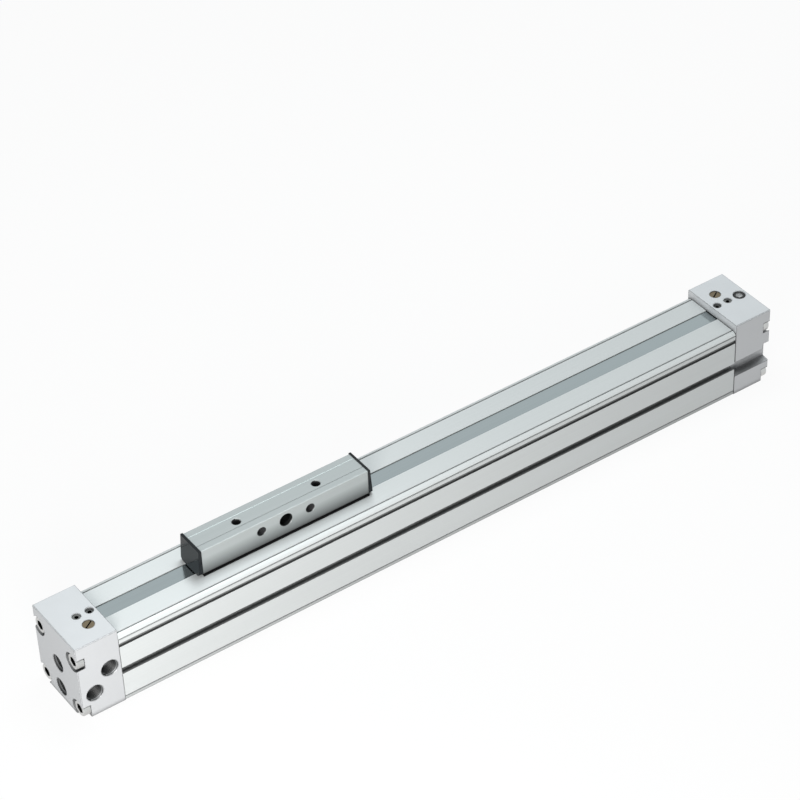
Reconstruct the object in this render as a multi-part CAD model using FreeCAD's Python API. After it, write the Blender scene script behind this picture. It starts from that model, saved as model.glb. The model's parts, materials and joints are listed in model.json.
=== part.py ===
import FreeCAD, Part
import math
import os
from FreeCAD import Vector

# Rodless pneumatic cylinder with a slotted barrel, a band on each side of the slot and a slide table.
# X runs along the barrel, Y across it and Z up. The origin is at mid length and mid width, level
# with the underside of the end caps. The near end is at low X and the far end at high X.
# All sizes are in millimetres.

# Overall sizes
stroke = 250.0
rest_travel = 34.4             # of the stroke, from the near stop to where the table rests
profile_width = 41.5
bore_diameter = 25.0
bottom_wall = 9.0              # from the underside to the bore
top_wall = 10.1                # from the bore to the top of the barrel
cap_length = 24.6
cap_rise = 4.9                 # of the caps above the top of the barrel
cap_overhang = 0.25            # of the caps beyond each side of the barrel

# Helpers for the modelling itself
past = 1.0                     # how far a cutting shape runs beyond the piece it cuts
touch = 1e-6                   # two places closer than this are the same

# Barrel profile
corner_radius = 0.8
foot_relief_width = 14.0
foot_relief_depth = 0.8
foot_groove_height = 2.55
line_groove_width = 1.0
line_groove_depth = 0.7
side_groove_drop = 6.15        # from the top of the barrel
side_groove_width = 2.5
side_groove_depth = 1.2
shoulder_drop = 2.3            # the rounded shoulder's height, from the top of the barrel
shoulder_width = 3.05
shoulder_bulge = 0.35

# Sensor slots, one on each side
sensor_slot_drop = 1.15        # from the bore's axis
sensor_slot_width = 4.3
sensor_slot_lip = 1.4
sensor_slot_depth = 4.55
sensor_slot_inner_width = 6.6
sensor_slot_corner = 0.8

# Air ducts that lead air along the barrel to the far end
duct_diameter = 4.0
duct_offset = 8.5
duct_height = 5.2
duct_seal_length = 1.2
duct_seal_wall = 1.0

# Slot, outer band and inner belt
slot_width = 5.8
channel_width = 10.0
channel_depth = 0.85
channel_end_pocket_length = 4.0
channel_end_pocket_depth = 1.0
band_width = 9.4
band_thickness = 0.3
band_gap = 0.05
magnet_strip_width = 1.2
magnet_strip_depth = 1.1
magnet_strip_offset = 4.0
belt_width = 8.0
belt_seat_clearance = 0.2
belt_seat_rise = 0.3           # seat above the top of the bore
belt_gap = 0.05
belt_strip_thickness = 0.6

# End caps, their bolts and their joints
gasket_thickness = 0.3
gasket_margin = 0.5
cap_edge = 0.4
bolt_margin = 4.6              # from the axis of a bolt to the side of the cap
bolt_diameter = 6.0
bolt_hole_diameter = 6.4
bolt_thread_clearance = 0.05
bolt_head_diameter = 9.2
bolt_head_height = 4.2
bolt_socket_width = 5.0
bolt_socket_depth = 2.6
bolt_thread_engagement = 14.0
bolt_tap_depth = 18.0
counterbore_diameter = 11.2
counterbore_depth = 4.8
spigot_length = 5.0
spigot_clearance = 0.05
ring_groove_depth = 1.3
ring_groove_width = 1.9
ring_setback = 1.4

# Ports
port_diameter = 9.73
port_depth = 8.0
port_mouth = 0.25
passage_diameter = 4.0
high_passage_offset = 1.4      # from the needle, towards the barrel
high_passage_rise = 3.5        # from the bore's axis
low_passage_offset = 2.5       # from the low port, towards the barrel
low_passage_depth = 11.0       # from the side of the cap
cross_passage_diameter = 4.4
side_port_high = (18.1, 5.3)   # from the outer end face, and from the bore's axis
side_port_low = (8.2, -6.4)
end_port_high = 2.9            # from the bore's axis
end_port_low = -13.7

# Mounting threads under the caps
foot_hole_diameter = 4.2
foot_hole_depth = 7.0
foot_hole_inset = 5.6
foot_hole_spacing = 16.0

# Screws on top of the caps
needle_inset = 15.6            # from the outer end face
needle_offset = 8.5            # from mid width
needle_head_diameter = 6.3
needle_head_length = 5.0
needle_stem_diameter = 4.0
needle_tip_diameter = 2.2
needle_point_diameter = 0.9
needle_tip_length = 3.0
needle_length = 22.0
needle_slot_width = 0.8
needle_slot_depth = 0.9
needle_recess = 0.35
needle_slot_turn = 32.0        # degrees, from X towards Y
needle_clearance = 0.08
needle_ring_width = 1.6
needle_ring_depth = 0.7
needle_ring_setback = 1.0      # from the foot of the head
belt_screw_inset = 13.6
band_screw_inset = 21.1
clamp_screw_diameter = 4.4
clamp_screw_socket = 2.2
clamp_screw_socket_depth = 1.6
belt_screw_recess = 0.7
band_screw_recess = 1.3
plug_inset = 5.2
plug_diameter = 7.0
plug_length = 6.0
plug_socket = 3.6
plug_socket_depth = 2.2
plug_recess = 0.25

# Pockets that hold the ends of the band and the belt
pocket_margin = 0.8             # beyond the clamp screw
band_pocket_width = 10.4
band_pocket_drop = 0.9
band_clamp_setback = 1.2
belt_pocket_clearance = 0.25
belt_clamp_height = 1.0

# Sensor lead channel in the far cap's side, and the notch above it
lead_channel_below = 6.55      # from the middle of the sensor slot
lead_channel_above = 2.85
lead_channel_depth = 4.5
lead_channel_slope = 0.9
lead_notch_length = 4.3
lead_notch_above = 6.35
corner_cut_height = 6.4

# Air cushion
cushion_chamber_diameter = 13.0
cushion_chamber_depth = 9.0
chamber_cover = 2.0            # between the chamber and the inner face of the cap
boss_diameter = 8.0
boss_bore_diameter = 4.0
boss_reach = 14.0              # beyond the face of the spigot
boss_flange_diameter = 12.0
boss_flange_length = 2.0
boss_nose = 1.0
bumper_inner_diameter = 10.0
bumper_outer_diameter = 22.0
bumper_thickness = 2.0
stop_clearance = 0.3

# Slide table
table_length = 102.4
table_width = 17.4
table_height = 15.1
table_edge = 0.5
table_groove_offset = 4.3
table_groove_width = 0.5
table_groove_depth = 0.25
table_cavity_width = 10.4
band_roof_gap = 0.7            # between the arched band and the roof of the cavity
top_hole_pitch = 49.0
side_hole_pitch = 30.0
table_hole_diameter = 5.0
table_hole_depth = 8.0
table_hole_mouth = 0.3
pivot_hole_diameter = 7.4
side_hole_drop = 6.0           # from the top of the table
end_plate_thickness = 1.5
end_plate_margin = 0.3
end_plate_edge = 0.35
end_plate_foot = 1.6
end_plate_tongue = 0.3         # reach into the channel
end_plate_lean = 1.1           # of the plate's foot outwards from its top
skirt_thickness = 1.15
skirt_inset = 0.1
slide_gap = 0.15
wiper_thickness = 3.0
wiper_width = 9.2
wiper_gap = 0.05
clamp_pin_diameter = 2.6
clamp_pin_spacing = 40.0
clamp_pin_rise = 1.8           # above the foot of the table
clamp_pin_socket = 1.3
clamp_pin_socket_depth = 1.5
clamp_pin_sink = 0.4
clamp_pin_bite = 0.5           # reach into the head of the yoke

# Yoke, piston ends and what they carry
yoke_half_length = 46.0
yoke_clearance = 0.3
neck_width = 5.2
neck_length = 54.0
head_width = 10.2
head_gap = 0.3                 # between the barrel's top and the head
head_height = 4.4
head_round = 2.0
band_head_gap = 0.5            # between the head and the arched band
band_bend_length = 21.0
belt_trough_rise = 6.5         # from the bore's axis to the arched belt
belt_bend_length = 17.5
belt_tunnel_clearance = 0.3
belt_tunnel_width = 8.6
guide_length = 9.0
guide_gap = 0.1
strip_joint_gap = 0.1          # between a fixed stretch of a strip and its arch
piston_end_length = 21.7
piston_nose = 1.0
stub_diameter = 12.0
stub_length = 8.0
stub_pin_diameter = 3.0
stub_pin_length = 20.0
cushion_cavity_diameter = 8.8
cushion_cavity_depth = 19.0
cushion_seal_width = 2.0
cushion_seal_diameter = 13.0
cushion_seal_setback = 1.5
cushion_fit = 0.05
running_fit = 0.05
seal_width = 3.2
seal_depth = 2.6
seal_setback = 3.0
seal_lip = 0.7
seal_lip_wall = 0.3
magnet_width = 3.0
magnet_depth = 2.4
magnet_setback = 8.4
magnet_sink = 0.5
wear_ring_width = 4.5
wear_ring_depth = 1.2
wear_ring_setback = 13.6
wear_ring_split = 0.6

# Values that follow from the sizes above
profile_half = profile_width / 2
bore_radius = bore_diameter / 2
bore_axis_height = bottom_wall + bore_radius
profile_height = bore_axis_height + bore_radius + top_wall
side_groove_height = profile_height - side_groove_drop
shoulder_height = profile_height - shoulder_drop
shoulder_line = profile_half - shoulder_width
sensor_slot_height = bore_axis_height - sensor_slot_drop
cap_width = profile_width + 2 * cap_overhang
cap_height = profile_height + cap_rise
bolt_pitch = cap_width - 2 * bolt_margin
piston_half_length = yoke_half_length + piston_end_length
stop_length = stop_clearance + bumper_thickness + spigot_length
barrel_length = stroke + 2 * (piston_half_length + stop_length)
end_x = barrel_length / 2
outer_x = end_x + cap_length
spigot_face = end_x - spigot_length
table_rest_offset = rest_travel - stroke / 2
duct_seal_radius = duct_diameter / 2 + duct_seal_wall
channel_floor = profile_height - channel_depth
band_low = channel_floor + band_gap
band_middle = band_low + band_thickness / 2
band_high = band_low + band_thickness
belt_seat = bore_axis_height + bore_radius + belt_seat_rise
belt_high = belt_seat - belt_gap
belt_middle = belt_high - belt_strip_thickness / 2
belt_trough = bore_axis_height + belt_trough_rise
band_pocket_depth = cap_length - band_screw_inset + clamp_screw_diameter / 2 + pocket_margin
belt_pocket_depth = cap_length - belt_screw_inset + clamp_screw_diameter / 2 + pocket_margin
lead_channel_low = sensor_slot_height - lead_channel_below
lead_channel_high = sensor_slot_height + lead_channel_above
table_half = table_length / 2
carriage_half = table_half + end_plate_thickness
wall_low = profile_height + slide_gap + skirt_thickness
table_top = wall_low + table_height
side_hole_height = table_top - side_hole_drop
clamp_pin_height = wall_low + clamp_pin_rise
head_foot = profile_height + head_gap
head_top = head_foot + head_height
band_crest = head_top + band_head_gap + band_thickness / 2
table_cavity_roof = band_crest + band_thickness / 2 + band_roof_gap
bolt_places = [
    (y * bolt_pitch / 2, bore_axis_height + z * bolt_pitch / 2)
    for y in (-1, 1)
    for z in (-1, 1)
]


def box(x0, x1, y0, y1, z0, z1):
    return Part.makeBox(x1 - x0, y1 - y0, z1 - z0, Vector(x0, y0, z0))


def side_box(side, x0, x1, y_in, y_out, z0, z1):
    """A box on one side of mid width. The side is 1 for the back and -1 for the front."""
    y0, y1 = sorted((side * y_in, side * y_out))
    return box(x0, x1, y0, y1, z0, z1)


def rod_x(x0, x1, y, z, radius):
    return Part.makeCylinder(radius, x1 - x0, Vector(x0, y, z), Vector(1, 0, 0))


def rod_y(y0, y1, x, z, radius):
    return Part.makeCylinder(radius, y1 - y0, Vector(x, y0, z), Vector(0, 1, 0))


def rod_z(z0, z1, x, y, radius):
    return Part.makeCylinder(radius, z1 - z0, Vector(x, y, z0), Vector(0, 0, 1))


def ring_x(x0, x1, outer, inner):
    """A ring about the bore's axis."""
    tube = rod_x(x0, x1, 0, bore_axis_height, outer)
    return tube.cut(rod_x(x0 - past, x1 + past, 0, bore_axis_height, inner))


def mouth(point, outward, radius, widening):
    """A cone that eases the edge of a hole whose mouth is at the point."""
    start = point + outward * widening
    return Part.makeCone(radius + 2 * widening, radius, 2 * widening, start, outward * -1)


def hexagon(centre, axis, width, depth):
    """A hexagonal prism that starts at the centre and goes against the axis."""
    radius = width / math.sqrt(3)
    side = Vector(0, 0, 1).cross(axis) if abs(axis.z) < 0.5 else Vector(1, 0, 0)
    up = axis.cross(side)
    corners = []
    for i in range(7):
        turn = math.radians(60 * i)
        corners.append(centre + side * (radius * math.cos(turn)) + up * (radius * math.sin(turn)))
    return Part.Face(Part.makePolygon(corners)).extrude(axis * -depth)


def turned(shape):
    """The same piece at the other end: half a turn about Z."""
    other = shape.copy()
    other.rotate(Vector(0, 0, 0), Vector(0, 0, 1), 180)
    return other


def mirrored_y(shape):
    return shape.mirror(Vector(0, 0, 0), Vector(0, 1, 0))


def at_carriage(shape):
    """A carriage piece, built about X = 0, moved to where the table rests."""
    moved = shape.copy()
    moved.translate(Vector(table_rest_offset, 0, 0))
    return moved


def bend_edges(x0, z0, x1, z1, offset=0.0):
    """Two equal arcs, level at both ends, from one height to another, as a list of edges.

    The offset moves the curve squarely upwards from its middle line.
    """
    rise = z1 - z0
    run = x1 - x0
    radius = (run * run + rise * rise) / (4 * abs(rise))
    way = 1 if rise > 0 else -1
    first = Vector(x0, 0, z0 + way * radius)
    second = Vector(x1, 0, z1 - way * radius)
    half_turn = math.asin(abs(run) / 2 / radius)
    step = 1 if run > 0 else -1

    def on(centre, outward, turn):
        reach = radius - way * outward * offset
        return centre + Vector(
            step * outward * reach * math.sin(turn), 0, -way * outward * reach * math.cos(turn)
        )

    start = on(first, 1, 0.0)
    quarter = on(first, 1, half_turn / 2)
    middle = on(first, 1, half_turn)
    last_quarter = on(second, -1, half_turn / 2)
    end = on(second, -1, 0.0)
    first_arc = Part.Arc(start, quarter, middle)
    second_arc = Part.Arc(middle, last_quarter, end)
    return [first_arc.toShape(), second_arc.toShape()]


def extrude_across(edges, width):
    """A closed outline in the XZ plane, extruded evenly to both sides of mid width."""
    face = Part.Face(Part.Wire(Part.__sortEdges__(edges)))
    solid = face.extrude(Vector(0, width, 0))
    solid.translate(Vector(0, -width / 2, 0))
    return solid


def line(x0, z0, x1, z1):
    return Part.LineSegment(Vector(x0, 0, z0), Vector(x1, 0, z1)).toShape()


def arched_strip(reach, flat, z_end, z_flat, thickness, width):
    """A strip that runs level at its ends and bends to another height in its middle."""
    edges = []
    for offset in (thickness / 2, -thickness / 2):
        edges += bend_edges(-reach, z_end, -flat, z_flat, offset)
        edges += bend_edges(reach, z_end, flat, z_flat, offset)
        edges.append(line(-flat, z_flat + offset, flat, z_flat + offset))
    for x in (-reach, reach):
        edges.append(line(x, z_end - thickness / 2, x, z_end + thickness / 2))
    return extrude_across(edges, width)


def bend_block(reach, flat, z_end, z_flat, offset, base, width):
    """What lies between one bend of a strip and a level base, at the near end."""
    edges = bend_edges(-reach, z_end, -flat, z_flat, offset)
    edges.append(line(-reach, z_end + offset, -reach, base))
    edges.append(line(-flat, z_flat + offset, -flat, base))
    edges.append(line(-reach, base, -flat, base))
    return extrude_across(edges, width)


def profile_half_face():
    """Half of the barrel's section, from the foot round the outside and back down the bore."""
    half = profile_half
    groove = line_groove_width / 2
    slot_low = sensor_slot_height - sensor_slot_width / 2
    slot_high = sensor_slot_height + sensor_slot_width / 2
    inner_low = sensor_slot_height - sensor_slot_inner_width / 2
    inner_high = sensor_slot_height + sensor_slot_inner_width / 2
    lip = half - sensor_slot_lip
    floor = half - sensor_slot_depth
    side_low = side_groove_height - side_groove_width / 2
    side_high = side_groove_height + side_groove_width / 2
    side_floor = half - side_groove_depth
    strip_in = magnet_strip_offset - magnet_strip_width / 2
    strip_out = magnet_strip_offset + magnet_strip_width / 2
    strip_floor = channel_floor - magnet_strip_depth
    belt_half = belt_width / 2 + belt_seat_clearance
    belt_edge = bore_axis_height + math.sqrt(bore_radius ** 2 - belt_half ** 2)
    shoulder_end = shoulder_line + groove
    arc_start = (half, corner_radius)
    arc_middle = (
        half - corner_radius * (1 - math.sqrt(0.5)),
        corner_radius * (1 - math.sqrt(0.5)),
    )
    outer = [
        (half, corner_radius),
        (half, foot_groove_height - groove),
        (half - line_groove_depth, foot_groove_height),
        (half, foot_groove_height + groove),
        (half, slot_low),
        (lip, slot_low),
        (lip, inner_low),
        (floor + sensor_slot_corner, inner_low),
        (floor, inner_low + sensor_slot_corner),
        (floor, inner_high - sensor_slot_corner),
        (floor + sensor_slot_corner, inner_high),
        (lip, inner_high),
        (lip, slot_high),
        (half, slot_high),
        (half, side_low),
        (side_floor, side_low),
        (side_floor, side_high),
        (half, side_high),
        (half, shoulder_height - groove),
        (half - line_groove_depth, shoulder_height),
        (half, shoulder_height + groove),
    ]
    inner = [
        (shoulder_end, profile_height),
        (shoulder_line, profile_height - line_groove_depth),
        (shoulder_line - groove, profile_height),
        (channel_width / 2, profile_height),
        (channel_width / 2, channel_floor),
        (strip_out, channel_floor),
        (strip_out, strip_floor),
        (strip_in, strip_floor),
        (strip_in, channel_floor),
        (slot_width / 2, channel_floor),
        (slot_width / 2, belt_seat),
        (belt_half, belt_seat),
        (belt_half, belt_edge),
    ]
    foot = [
        (0.0, bore_axis_height - bore_radius),
        (0.0, foot_relief_depth),
        (foot_relief_width / 2, foot_relief_depth),
        (foot_relief_width / 2, 0.0),
        (half - corner_radius, 0.0),
    ]

    def point(pair):
        return Vector(0, pair[0], pair[1])

    def run(pairs):
        return [
            Part.LineSegment(point(a), point(b)).toShape() for a, b in zip(pairs, pairs[1:])
        ]

    def arc(a, b, c):
        return Part.Arc(point(a), point(b), point(c)).toShape()

    shoulder_start = outer[-1]
    shoulder_middle = (
        (shoulder_start[0] + shoulder_end) / 2 + shoulder_bulge / 2,
        (shoulder_start[1] + profile_height) / 2 + shoulder_bulge,
    )
    edges = run(foot)
    edges.append(arc(foot[-1], arc_middle, arc_start))
    edges += run(outer)
    edges.append(arc(shoulder_start, shoulder_middle, inner[0]))
    edges += run(inner)
    edges.append(arc(inner[-1], (bore_radius, bore_axis_height), foot[0]))
    return Part.Face(Part.Wire(edges))


def profile_tube():
    length = barrel_length - 2 * gasket_thickness
    half = profile_half_face().extrude(Vector(length, 0, 0))
    half.translate(Vector(-length / 2, 0, 0))
    tube = half.fuse(mirrored_y(half)).removeSplitter()
    cuts = []
    start = -length / 2 - past
    for y, z in bolt_places:
        near = rod_x(start, -length / 2 + bolt_tap_depth, y, z, bolt_diameter / 2)
        cuts += [near, turned(near)]
    for side in (-1, 1):
        cuts.append(rod_x(start, -start, side * duct_offset, duct_height, duct_diameter / 2))
    pocket = box(
        start,
        -length / 2 + channel_end_pocket_length,
        -channel_width / 2,
        channel_width / 2,
        channel_floor - channel_end_pocket_depth,
        profile_height,
    )
    cuts += [pocket, turned(pocket)]
    return tube.cut(cuts)


def magnet_strip(side):
    """A magnetic strip let into the channel floor, which holds the outer band down."""
    reach = barrel_length / 2 - gasket_thickness - channel_end_pocket_length
    y0 = side * magnet_strip_offset - magnet_strip_width / 2
    low = channel_floor - magnet_strip_depth
    return box(-reach, reach, y0, y0 + magnet_strip_width, low, channel_floor)


def end_cap(is_far):
    """An end cap in the place of the near one. Half a turn about Z brings it to the far end.

    Only the far cap has the hole for the service plug and the sensor lead channel.
    """
    block = box(-outer_x, -end_x, -cap_width / 2, cap_width / 2, 0, cap_height)
    outer_edges = [
        e for e in block.Edges if abs(e.CenterOfMass.x + end_x) > touch
    ]
    block = block.makeChamfer(cap_edge, outer_edges)
    spigot = rod_x(-end_x - past, -spigot_face, 0, bore_axis_height, bore_radius - spigot_clearance)
    cap = block.fuse(spigot)
    cuts = []

    for y, z in bolt_places:
        cuts.append(rod_x(-outer_x - past, -end_x + past, y, z, bolt_hole_diameter / 2))
        cuts.append(
            rod_x(-outer_x - past, -outer_x + counterbore_depth, y, z, counterbore_diameter / 2)
        )
    for side in (-1, 1):
        cuts.append(
            side_box(
                side, -outer_x - past, -outer_x + counterbore_depth, bolt_pitch / 2,
                cap_width / 2 + past, -past, corner_cut_height,
            )
        )

    radius = port_diameter / 2
    for inset, rise in (side_port_high, side_port_low):
        x = -outer_x + inset
        z = bore_axis_height + rise
        cuts.append(rod_y(-cap_width / 2 - past, -cap_width / 2 + port_depth, x, z, radius))
        cuts.append(mouth(Vector(x, -cap_width / 2, z), Vector(0, -1, 0), radius, port_mouth))
    high_port_z = bore_axis_height + end_port_high
    low_port_z = bore_axis_height + end_port_low
    for z in (high_port_z, low_port_z):
        cuts.append(rod_x(-outer_x - past, -outer_x + port_depth, 0, z, radius))
        cuts.append(mouth(Vector(-outer_x, 0, z), Vector(-1, 0, 0), radius, port_mouth))

    chamber_back = -end_x - cushion_chamber_depth
    chamber_front = -end_x - chamber_cover
    cuts.append(
        rod_x(chamber_back, chamber_front, 0, bore_axis_height, cushion_chamber_diameter / 2)
    )
    cuts.append(rod_x(chamber_back, -spigot_face + past, 0, bore_axis_height, boss_diameter / 2))
    passage = passage_diameter / 2
    port_end = -outer_x + port_depth - past
    cuts.append(rod_x(port_end, chamber_back + past, 0, high_port_z, passage))
    high_x = -outer_x + needle_inset + high_passage_offset
    high_y = -cap_width / 2 + port_depth - past
    high_z = bore_axis_height + high_passage_rise
    cuts.append(rod_y(high_y, 0, high_x, high_z, passage))
    low_x = -outer_x + side_port_low[0] + low_passage_offset
    low_y = -cap_width / 2 + low_passage_depth
    low_z = bore_axis_height + side_port_low[1]
    cross = cross_passage_diameter / 2
    cuts.append(rod_y(high_y, low_y + cross, low_x, low_z, cross))
    cuts.append(rod_z(duct_height, low_z, low_x, low_y, passage))
    cuts.append(rod_y(low_y - cross, duct_offset + cross, low_x, duct_height, cross))
    cuts.append(rod_x(port_end, low_x, 0, low_port_z, passage))
    for side in (-1, 1):
        cuts.append(
            rod_x(low_x, -end_x + past, side * duct_offset, duct_height, duct_diameter / 2)
        )
        seat = rod_x(
            -end_x - duct_seal_length, -end_x + past, side * duct_offset, duct_height,
            duct_seal_radius,
        )
        cuts.append(seat)

    needle_x = -outer_x + needle_inset
    cuts.append(
        rod_z(
            cap_height - needle_head_length - needle_recess, cap_height + past, needle_x,
            -needle_offset, needle_head_diameter / 2 + needle_clearance,
        )
    )
    cuts.append(
        rod_z(
            cap_height - needle_recess - needle_length - past, cap_height, needle_x,
            -needle_offset, needle_stem_diameter / 2 + needle_clearance,
        )
    )

    radius = clamp_screw_diameter / 2
    for inset, low in ((belt_screw_inset, belt_seat), (band_screw_inset, channel_floor)):
        top = Vector(-outer_x + inset, 0, cap_height)
        cuts.append(rod_z(low, cap_height + past, top.x, 0, radius))
        cuts.append(mouth(top, Vector(0, 0, 1), radius, port_mouth))
    if is_far:
        x = -outer_x + plug_inset
        low = cap_height - plug_length - plug_recess
        radius = plug_diameter / 2
        cuts.append(rod_z(low, cap_height + past, x, 0, radius))
        cuts.append(mouth(Vector(x, 0, cap_height), Vector(0, 0, 1), radius, port_mouth))
        start = -outer_x - past
        out_y = cap_width / 2 + past
        floor_y = cap_width / 2 - lead_channel_depth
        corners = [
            Vector(start, out_y, lead_channel_low - lead_channel_slope),
            Vector(start, out_y, lead_channel_high),
            Vector(start, floor_y, lead_channel_high),
            Vector(start, floor_y, lead_channel_low),
        ]
        channel = Part.Face(Part.makePolygon(corners + corners[:1]))
        cuts.append(channel.extrude(Vector(cap_length + 2 * past, 0, 0)))
        cuts.append(
            box(
                start, -outer_x + lead_notch_length, floor_y, out_y, lead_channel_low,
                sensor_slot_height + lead_notch_above,
            )
        )

    cuts.append(
        box(
            -end_x - band_pocket_depth, -end_x + past, -band_pocket_width / 2, band_pocket_width / 2,
            channel_floor - band_pocket_drop, profile_height,
        )
    )
    belt_half = belt_width / 2 + belt_pocket_clearance
    belt_low = bore_axis_height + math.sqrt(bore_radius ** 2 - belt_half ** 2)
    cuts.append(
        box(-end_x - belt_pocket_depth, -end_x + past, -belt_half, belt_half, belt_low, belt_seat)
    )

    for side in (-1, 1):
        x = -outer_x + foot_hole_inset
        y = side * foot_hole_spacing / 2
        cuts.append(rod_z(-past, foot_hole_depth, x, y, foot_hole_diameter / 2))
        cuts.append(mouth(Vector(x, y, 0), Vector(0, 0, -1), foot_hole_diameter / 2, port_mouth))

    groove_x = -spigot_face - ring_setback - ring_groove_width
    cuts.append(
        ring_x(
            groove_x, groove_x + ring_groove_width, bore_radius + past, bore_radius - ring_groove_depth
        )
    )
    return cap.cut(cuts)


def duct_seals():
    """Small rings that seal the air ducts between the barrel and each cap."""
    rings = []
    for side in (-1, 1):
        y = side * duct_offset
        outer = rod_x(-end_x - duct_seal_length, -end_x, y, duct_height, duct_seal_radius)
        inner = rod_x(
            -end_x - duct_seal_length - past, -end_x + past, y, duct_height, duct_diameter / 2
        )
        ring = outer.cut(inner)
        rings += [ring, turned(ring)]
    return Part.makeCompound(rings)


def cap_gasket():
    """A flat gasket between the near cap and the barrel, open where the barrel is."""
    half = profile_width / 2 - gasket_margin
    plate = box(
        -end_x, -end_x + gasket_thickness, -half, half, gasket_margin,
        profile_height - gasket_margin,
    )
    cuts = [rod_x(-end_x - past, -end_x + past, 0, bore_axis_height, bore_radius)]
    for y, z in bolt_places:
        cuts.append(rod_x(-end_x - past, -end_x + past, y, z, bolt_hole_diameter / 2))
    for side in (-1, 1):
        cuts.append(
            rod_x(-end_x - past, -end_x + past, side * duct_offset, duct_height, duct_diameter / 2)
        )
        cuts.append(
            side_box(
                side, -end_x - past, -end_x + past, profile_half - sensor_slot_depth,
                profile_half, sensor_slot_height - sensor_slot_inner_width / 2,
                sensor_slot_height + sensor_slot_inner_width / 2,
            )
        )
    opening = belt_width / 2 + belt_pocket_clearance
    cuts.append(box(-end_x - past, -end_x + past, -opening, opening, bore_axis_height, belt_seat))
    cuts.append(
        box(
            -end_x - past, -end_x + past, -band_pocket_width / 2, band_pocket_width / 2,
            channel_floor - band_pocket_drop, profile_height,
        )
    )
    return plate.cut(cuts)


def cap_bolts():
    """Four socket screws that clamp the near cap to the barrel."""
    bolts = []
    seat = -outer_x + counterbore_depth
    head_x = seat - bolt_head_height
    tip = -end_x + gasket_thickness + bolt_thread_engagement
    for y, z in bolt_places:
        head = rod_x(head_x, seat, y, z, bolt_head_diameter / 2)
        rim = [e for e in head.Edges if abs(e.CenterOfMass.x - head_x) < touch]
        head = head.makeChamfer(cap_edge, rim)
        shank = rod_x(seat - past, tip, y, z, bolt_diameter / 2 - bolt_thread_clearance)
        socket = hexagon(
            Vector(head_x, y, z), Vector(-1, 0, 0), bolt_socket_width, bolt_socket_depth
        )
        bolts.append(head.fuse(shank).cut(socket))
    return Part.makeCompound(bolts)


def bore_ring():
    x0 = -spigot_face - ring_setback - ring_groove_width
    return ring_x(x0, x0 + ring_groove_width, bore_radius, bore_radius - ring_groove_depth)


def cushion_boss():
    """The hollow boss that the piston end closes over at the end of the stroke."""
    tip = -spigot_face + boss_reach
    flange_x = -end_x - chamber_cover
    boss = rod_x(flange_x - boss_flange_length, tip, 0, bore_axis_height, boss_diameter / 2)
    rim = [e for e in boss.Edges if abs(e.CenterOfMass.x - tip) < touch]
    boss = boss.makeChamfer(boss_nose, rim)
    flange = rod_x(
        flange_x - boss_flange_length, flange_x, 0, bore_axis_height, boss_flange_diameter / 2
    )
    return boss.fuse(flange).cut(
        rod_x(-outer_x, tip + past, 0, bore_axis_height, boss_bore_diameter / 2)
    )


def end_bumper():
    x0 = -spigot_face
    return ring_x(x0, x0 + bumper_thickness, bumper_outer_diameter / 2, bumper_inner_diameter / 2)


def cushion_needle():
    """A slotted brass screw that throttles the cushion's air."""
    x = -outer_x + needle_inset
    y = -needle_offset
    top = cap_height - needle_recess
    low = top - needle_length
    head = rod_z(top - needle_head_length, top, x, y, needle_head_diameter / 2)
    stem = rod_z(low + needle_tip_length, top - past, x, y, needle_stem_diameter / 2)
    tip = Part.makeCone(
        needle_point_diameter / 2, needle_tip_diameter / 2, needle_tip_length,
        Vector(x, y, low), Vector(0, 0, 1),
    )
    groove_low = top - needle_head_length + needle_ring_setback
    groove = rod_z(groove_low, groove_low + needle_ring_width, x, y, needle_head_diameter / 2 + past)
    core = rod_z(
        groove_low - past, groove_low + needle_ring_width + past, x, y,
        needle_head_diameter / 2 - needle_ring_depth,
    )
    half = needle_head_diameter / 2
    slot = box(
        x - half - past, x + half + past, y - needle_slot_width / 2, y + needle_slot_width / 2,
        top - needle_slot_depth, top + past,
    )
    slot.rotate(Vector(x, y, 0), Vector(0, 0, 1), needle_slot_turn)
    return head.fuse([stem, tip]).cut([groove.cut(core), slot])


def needle_ring():
    """The ring that seals the needle in its hole."""
    x = -outer_x + needle_inset
    y = -needle_offset
    low = cap_height - needle_recess - needle_head_length + needle_ring_setback
    high = low + needle_ring_width
    outer = rod_z(low, high, x, y, needle_head_diameter / 2 + needle_clearance / 2)
    return outer.cut(
        rod_z(low - past, high + past, x, y, needle_head_diameter / 2 - needle_ring_depth)
    )


def clamp_screws():
    """Two socket set screws that press on the clamps of the belt and the band."""
    screws = []
    band_clamp_top = profile_height
    belt_clamp_top = belt_seat + belt_clamp_height
    for inset, recess, low in (
        (belt_screw_inset, belt_screw_recess, belt_clamp_top),
        (band_screw_inset, band_screw_recess, band_clamp_top),
    ):
        x = -outer_x + inset
        top = cap_height - recess
        screw = rod_z(low, top, x, 0, clamp_screw_diameter / 2)
        socket = hexagon(
            Vector(x, 0, top), Vector(0, 0, 1), clamp_screw_socket, clamp_screw_socket_depth
        )
        screws.append(screw.cut(socket))
    return Part.makeCompound(screws)


def band_clamp():
    """The pad that presses the end of the outer band down in its pocket."""
    return box(
        -end_x - band_pocket_depth, -end_x - band_clamp_setback,
        -band_width / 2, band_width / 2, band_high, profile_height,
    )


def belt_clamp():
    """The round pad that presses the end of the inner belt down, below its screw."""
    return rod_z(
        belt_seat - belt_gap, belt_seat + belt_clamp_height, -outer_x + belt_screw_inset, 0,
        clamp_screw_diameter / 2 - needle_clearance,
    )


def service_plug():
    x = -outer_x + plug_inset
    top = cap_height - plug_recess
    plug = rod_z(top - plug_length, top, x, 0, plug_diameter / 2)
    rim = [e for e in plug.Edges if abs(e.CenterOfMass.z - top) < touch]
    plug = plug.makeChamfer(cap_edge, rim)
    return plug.cut(
        hexagon(Vector(x, 0, top), Vector(0, 0, 1), plug_socket, plug_socket_depth)
    )


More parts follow.
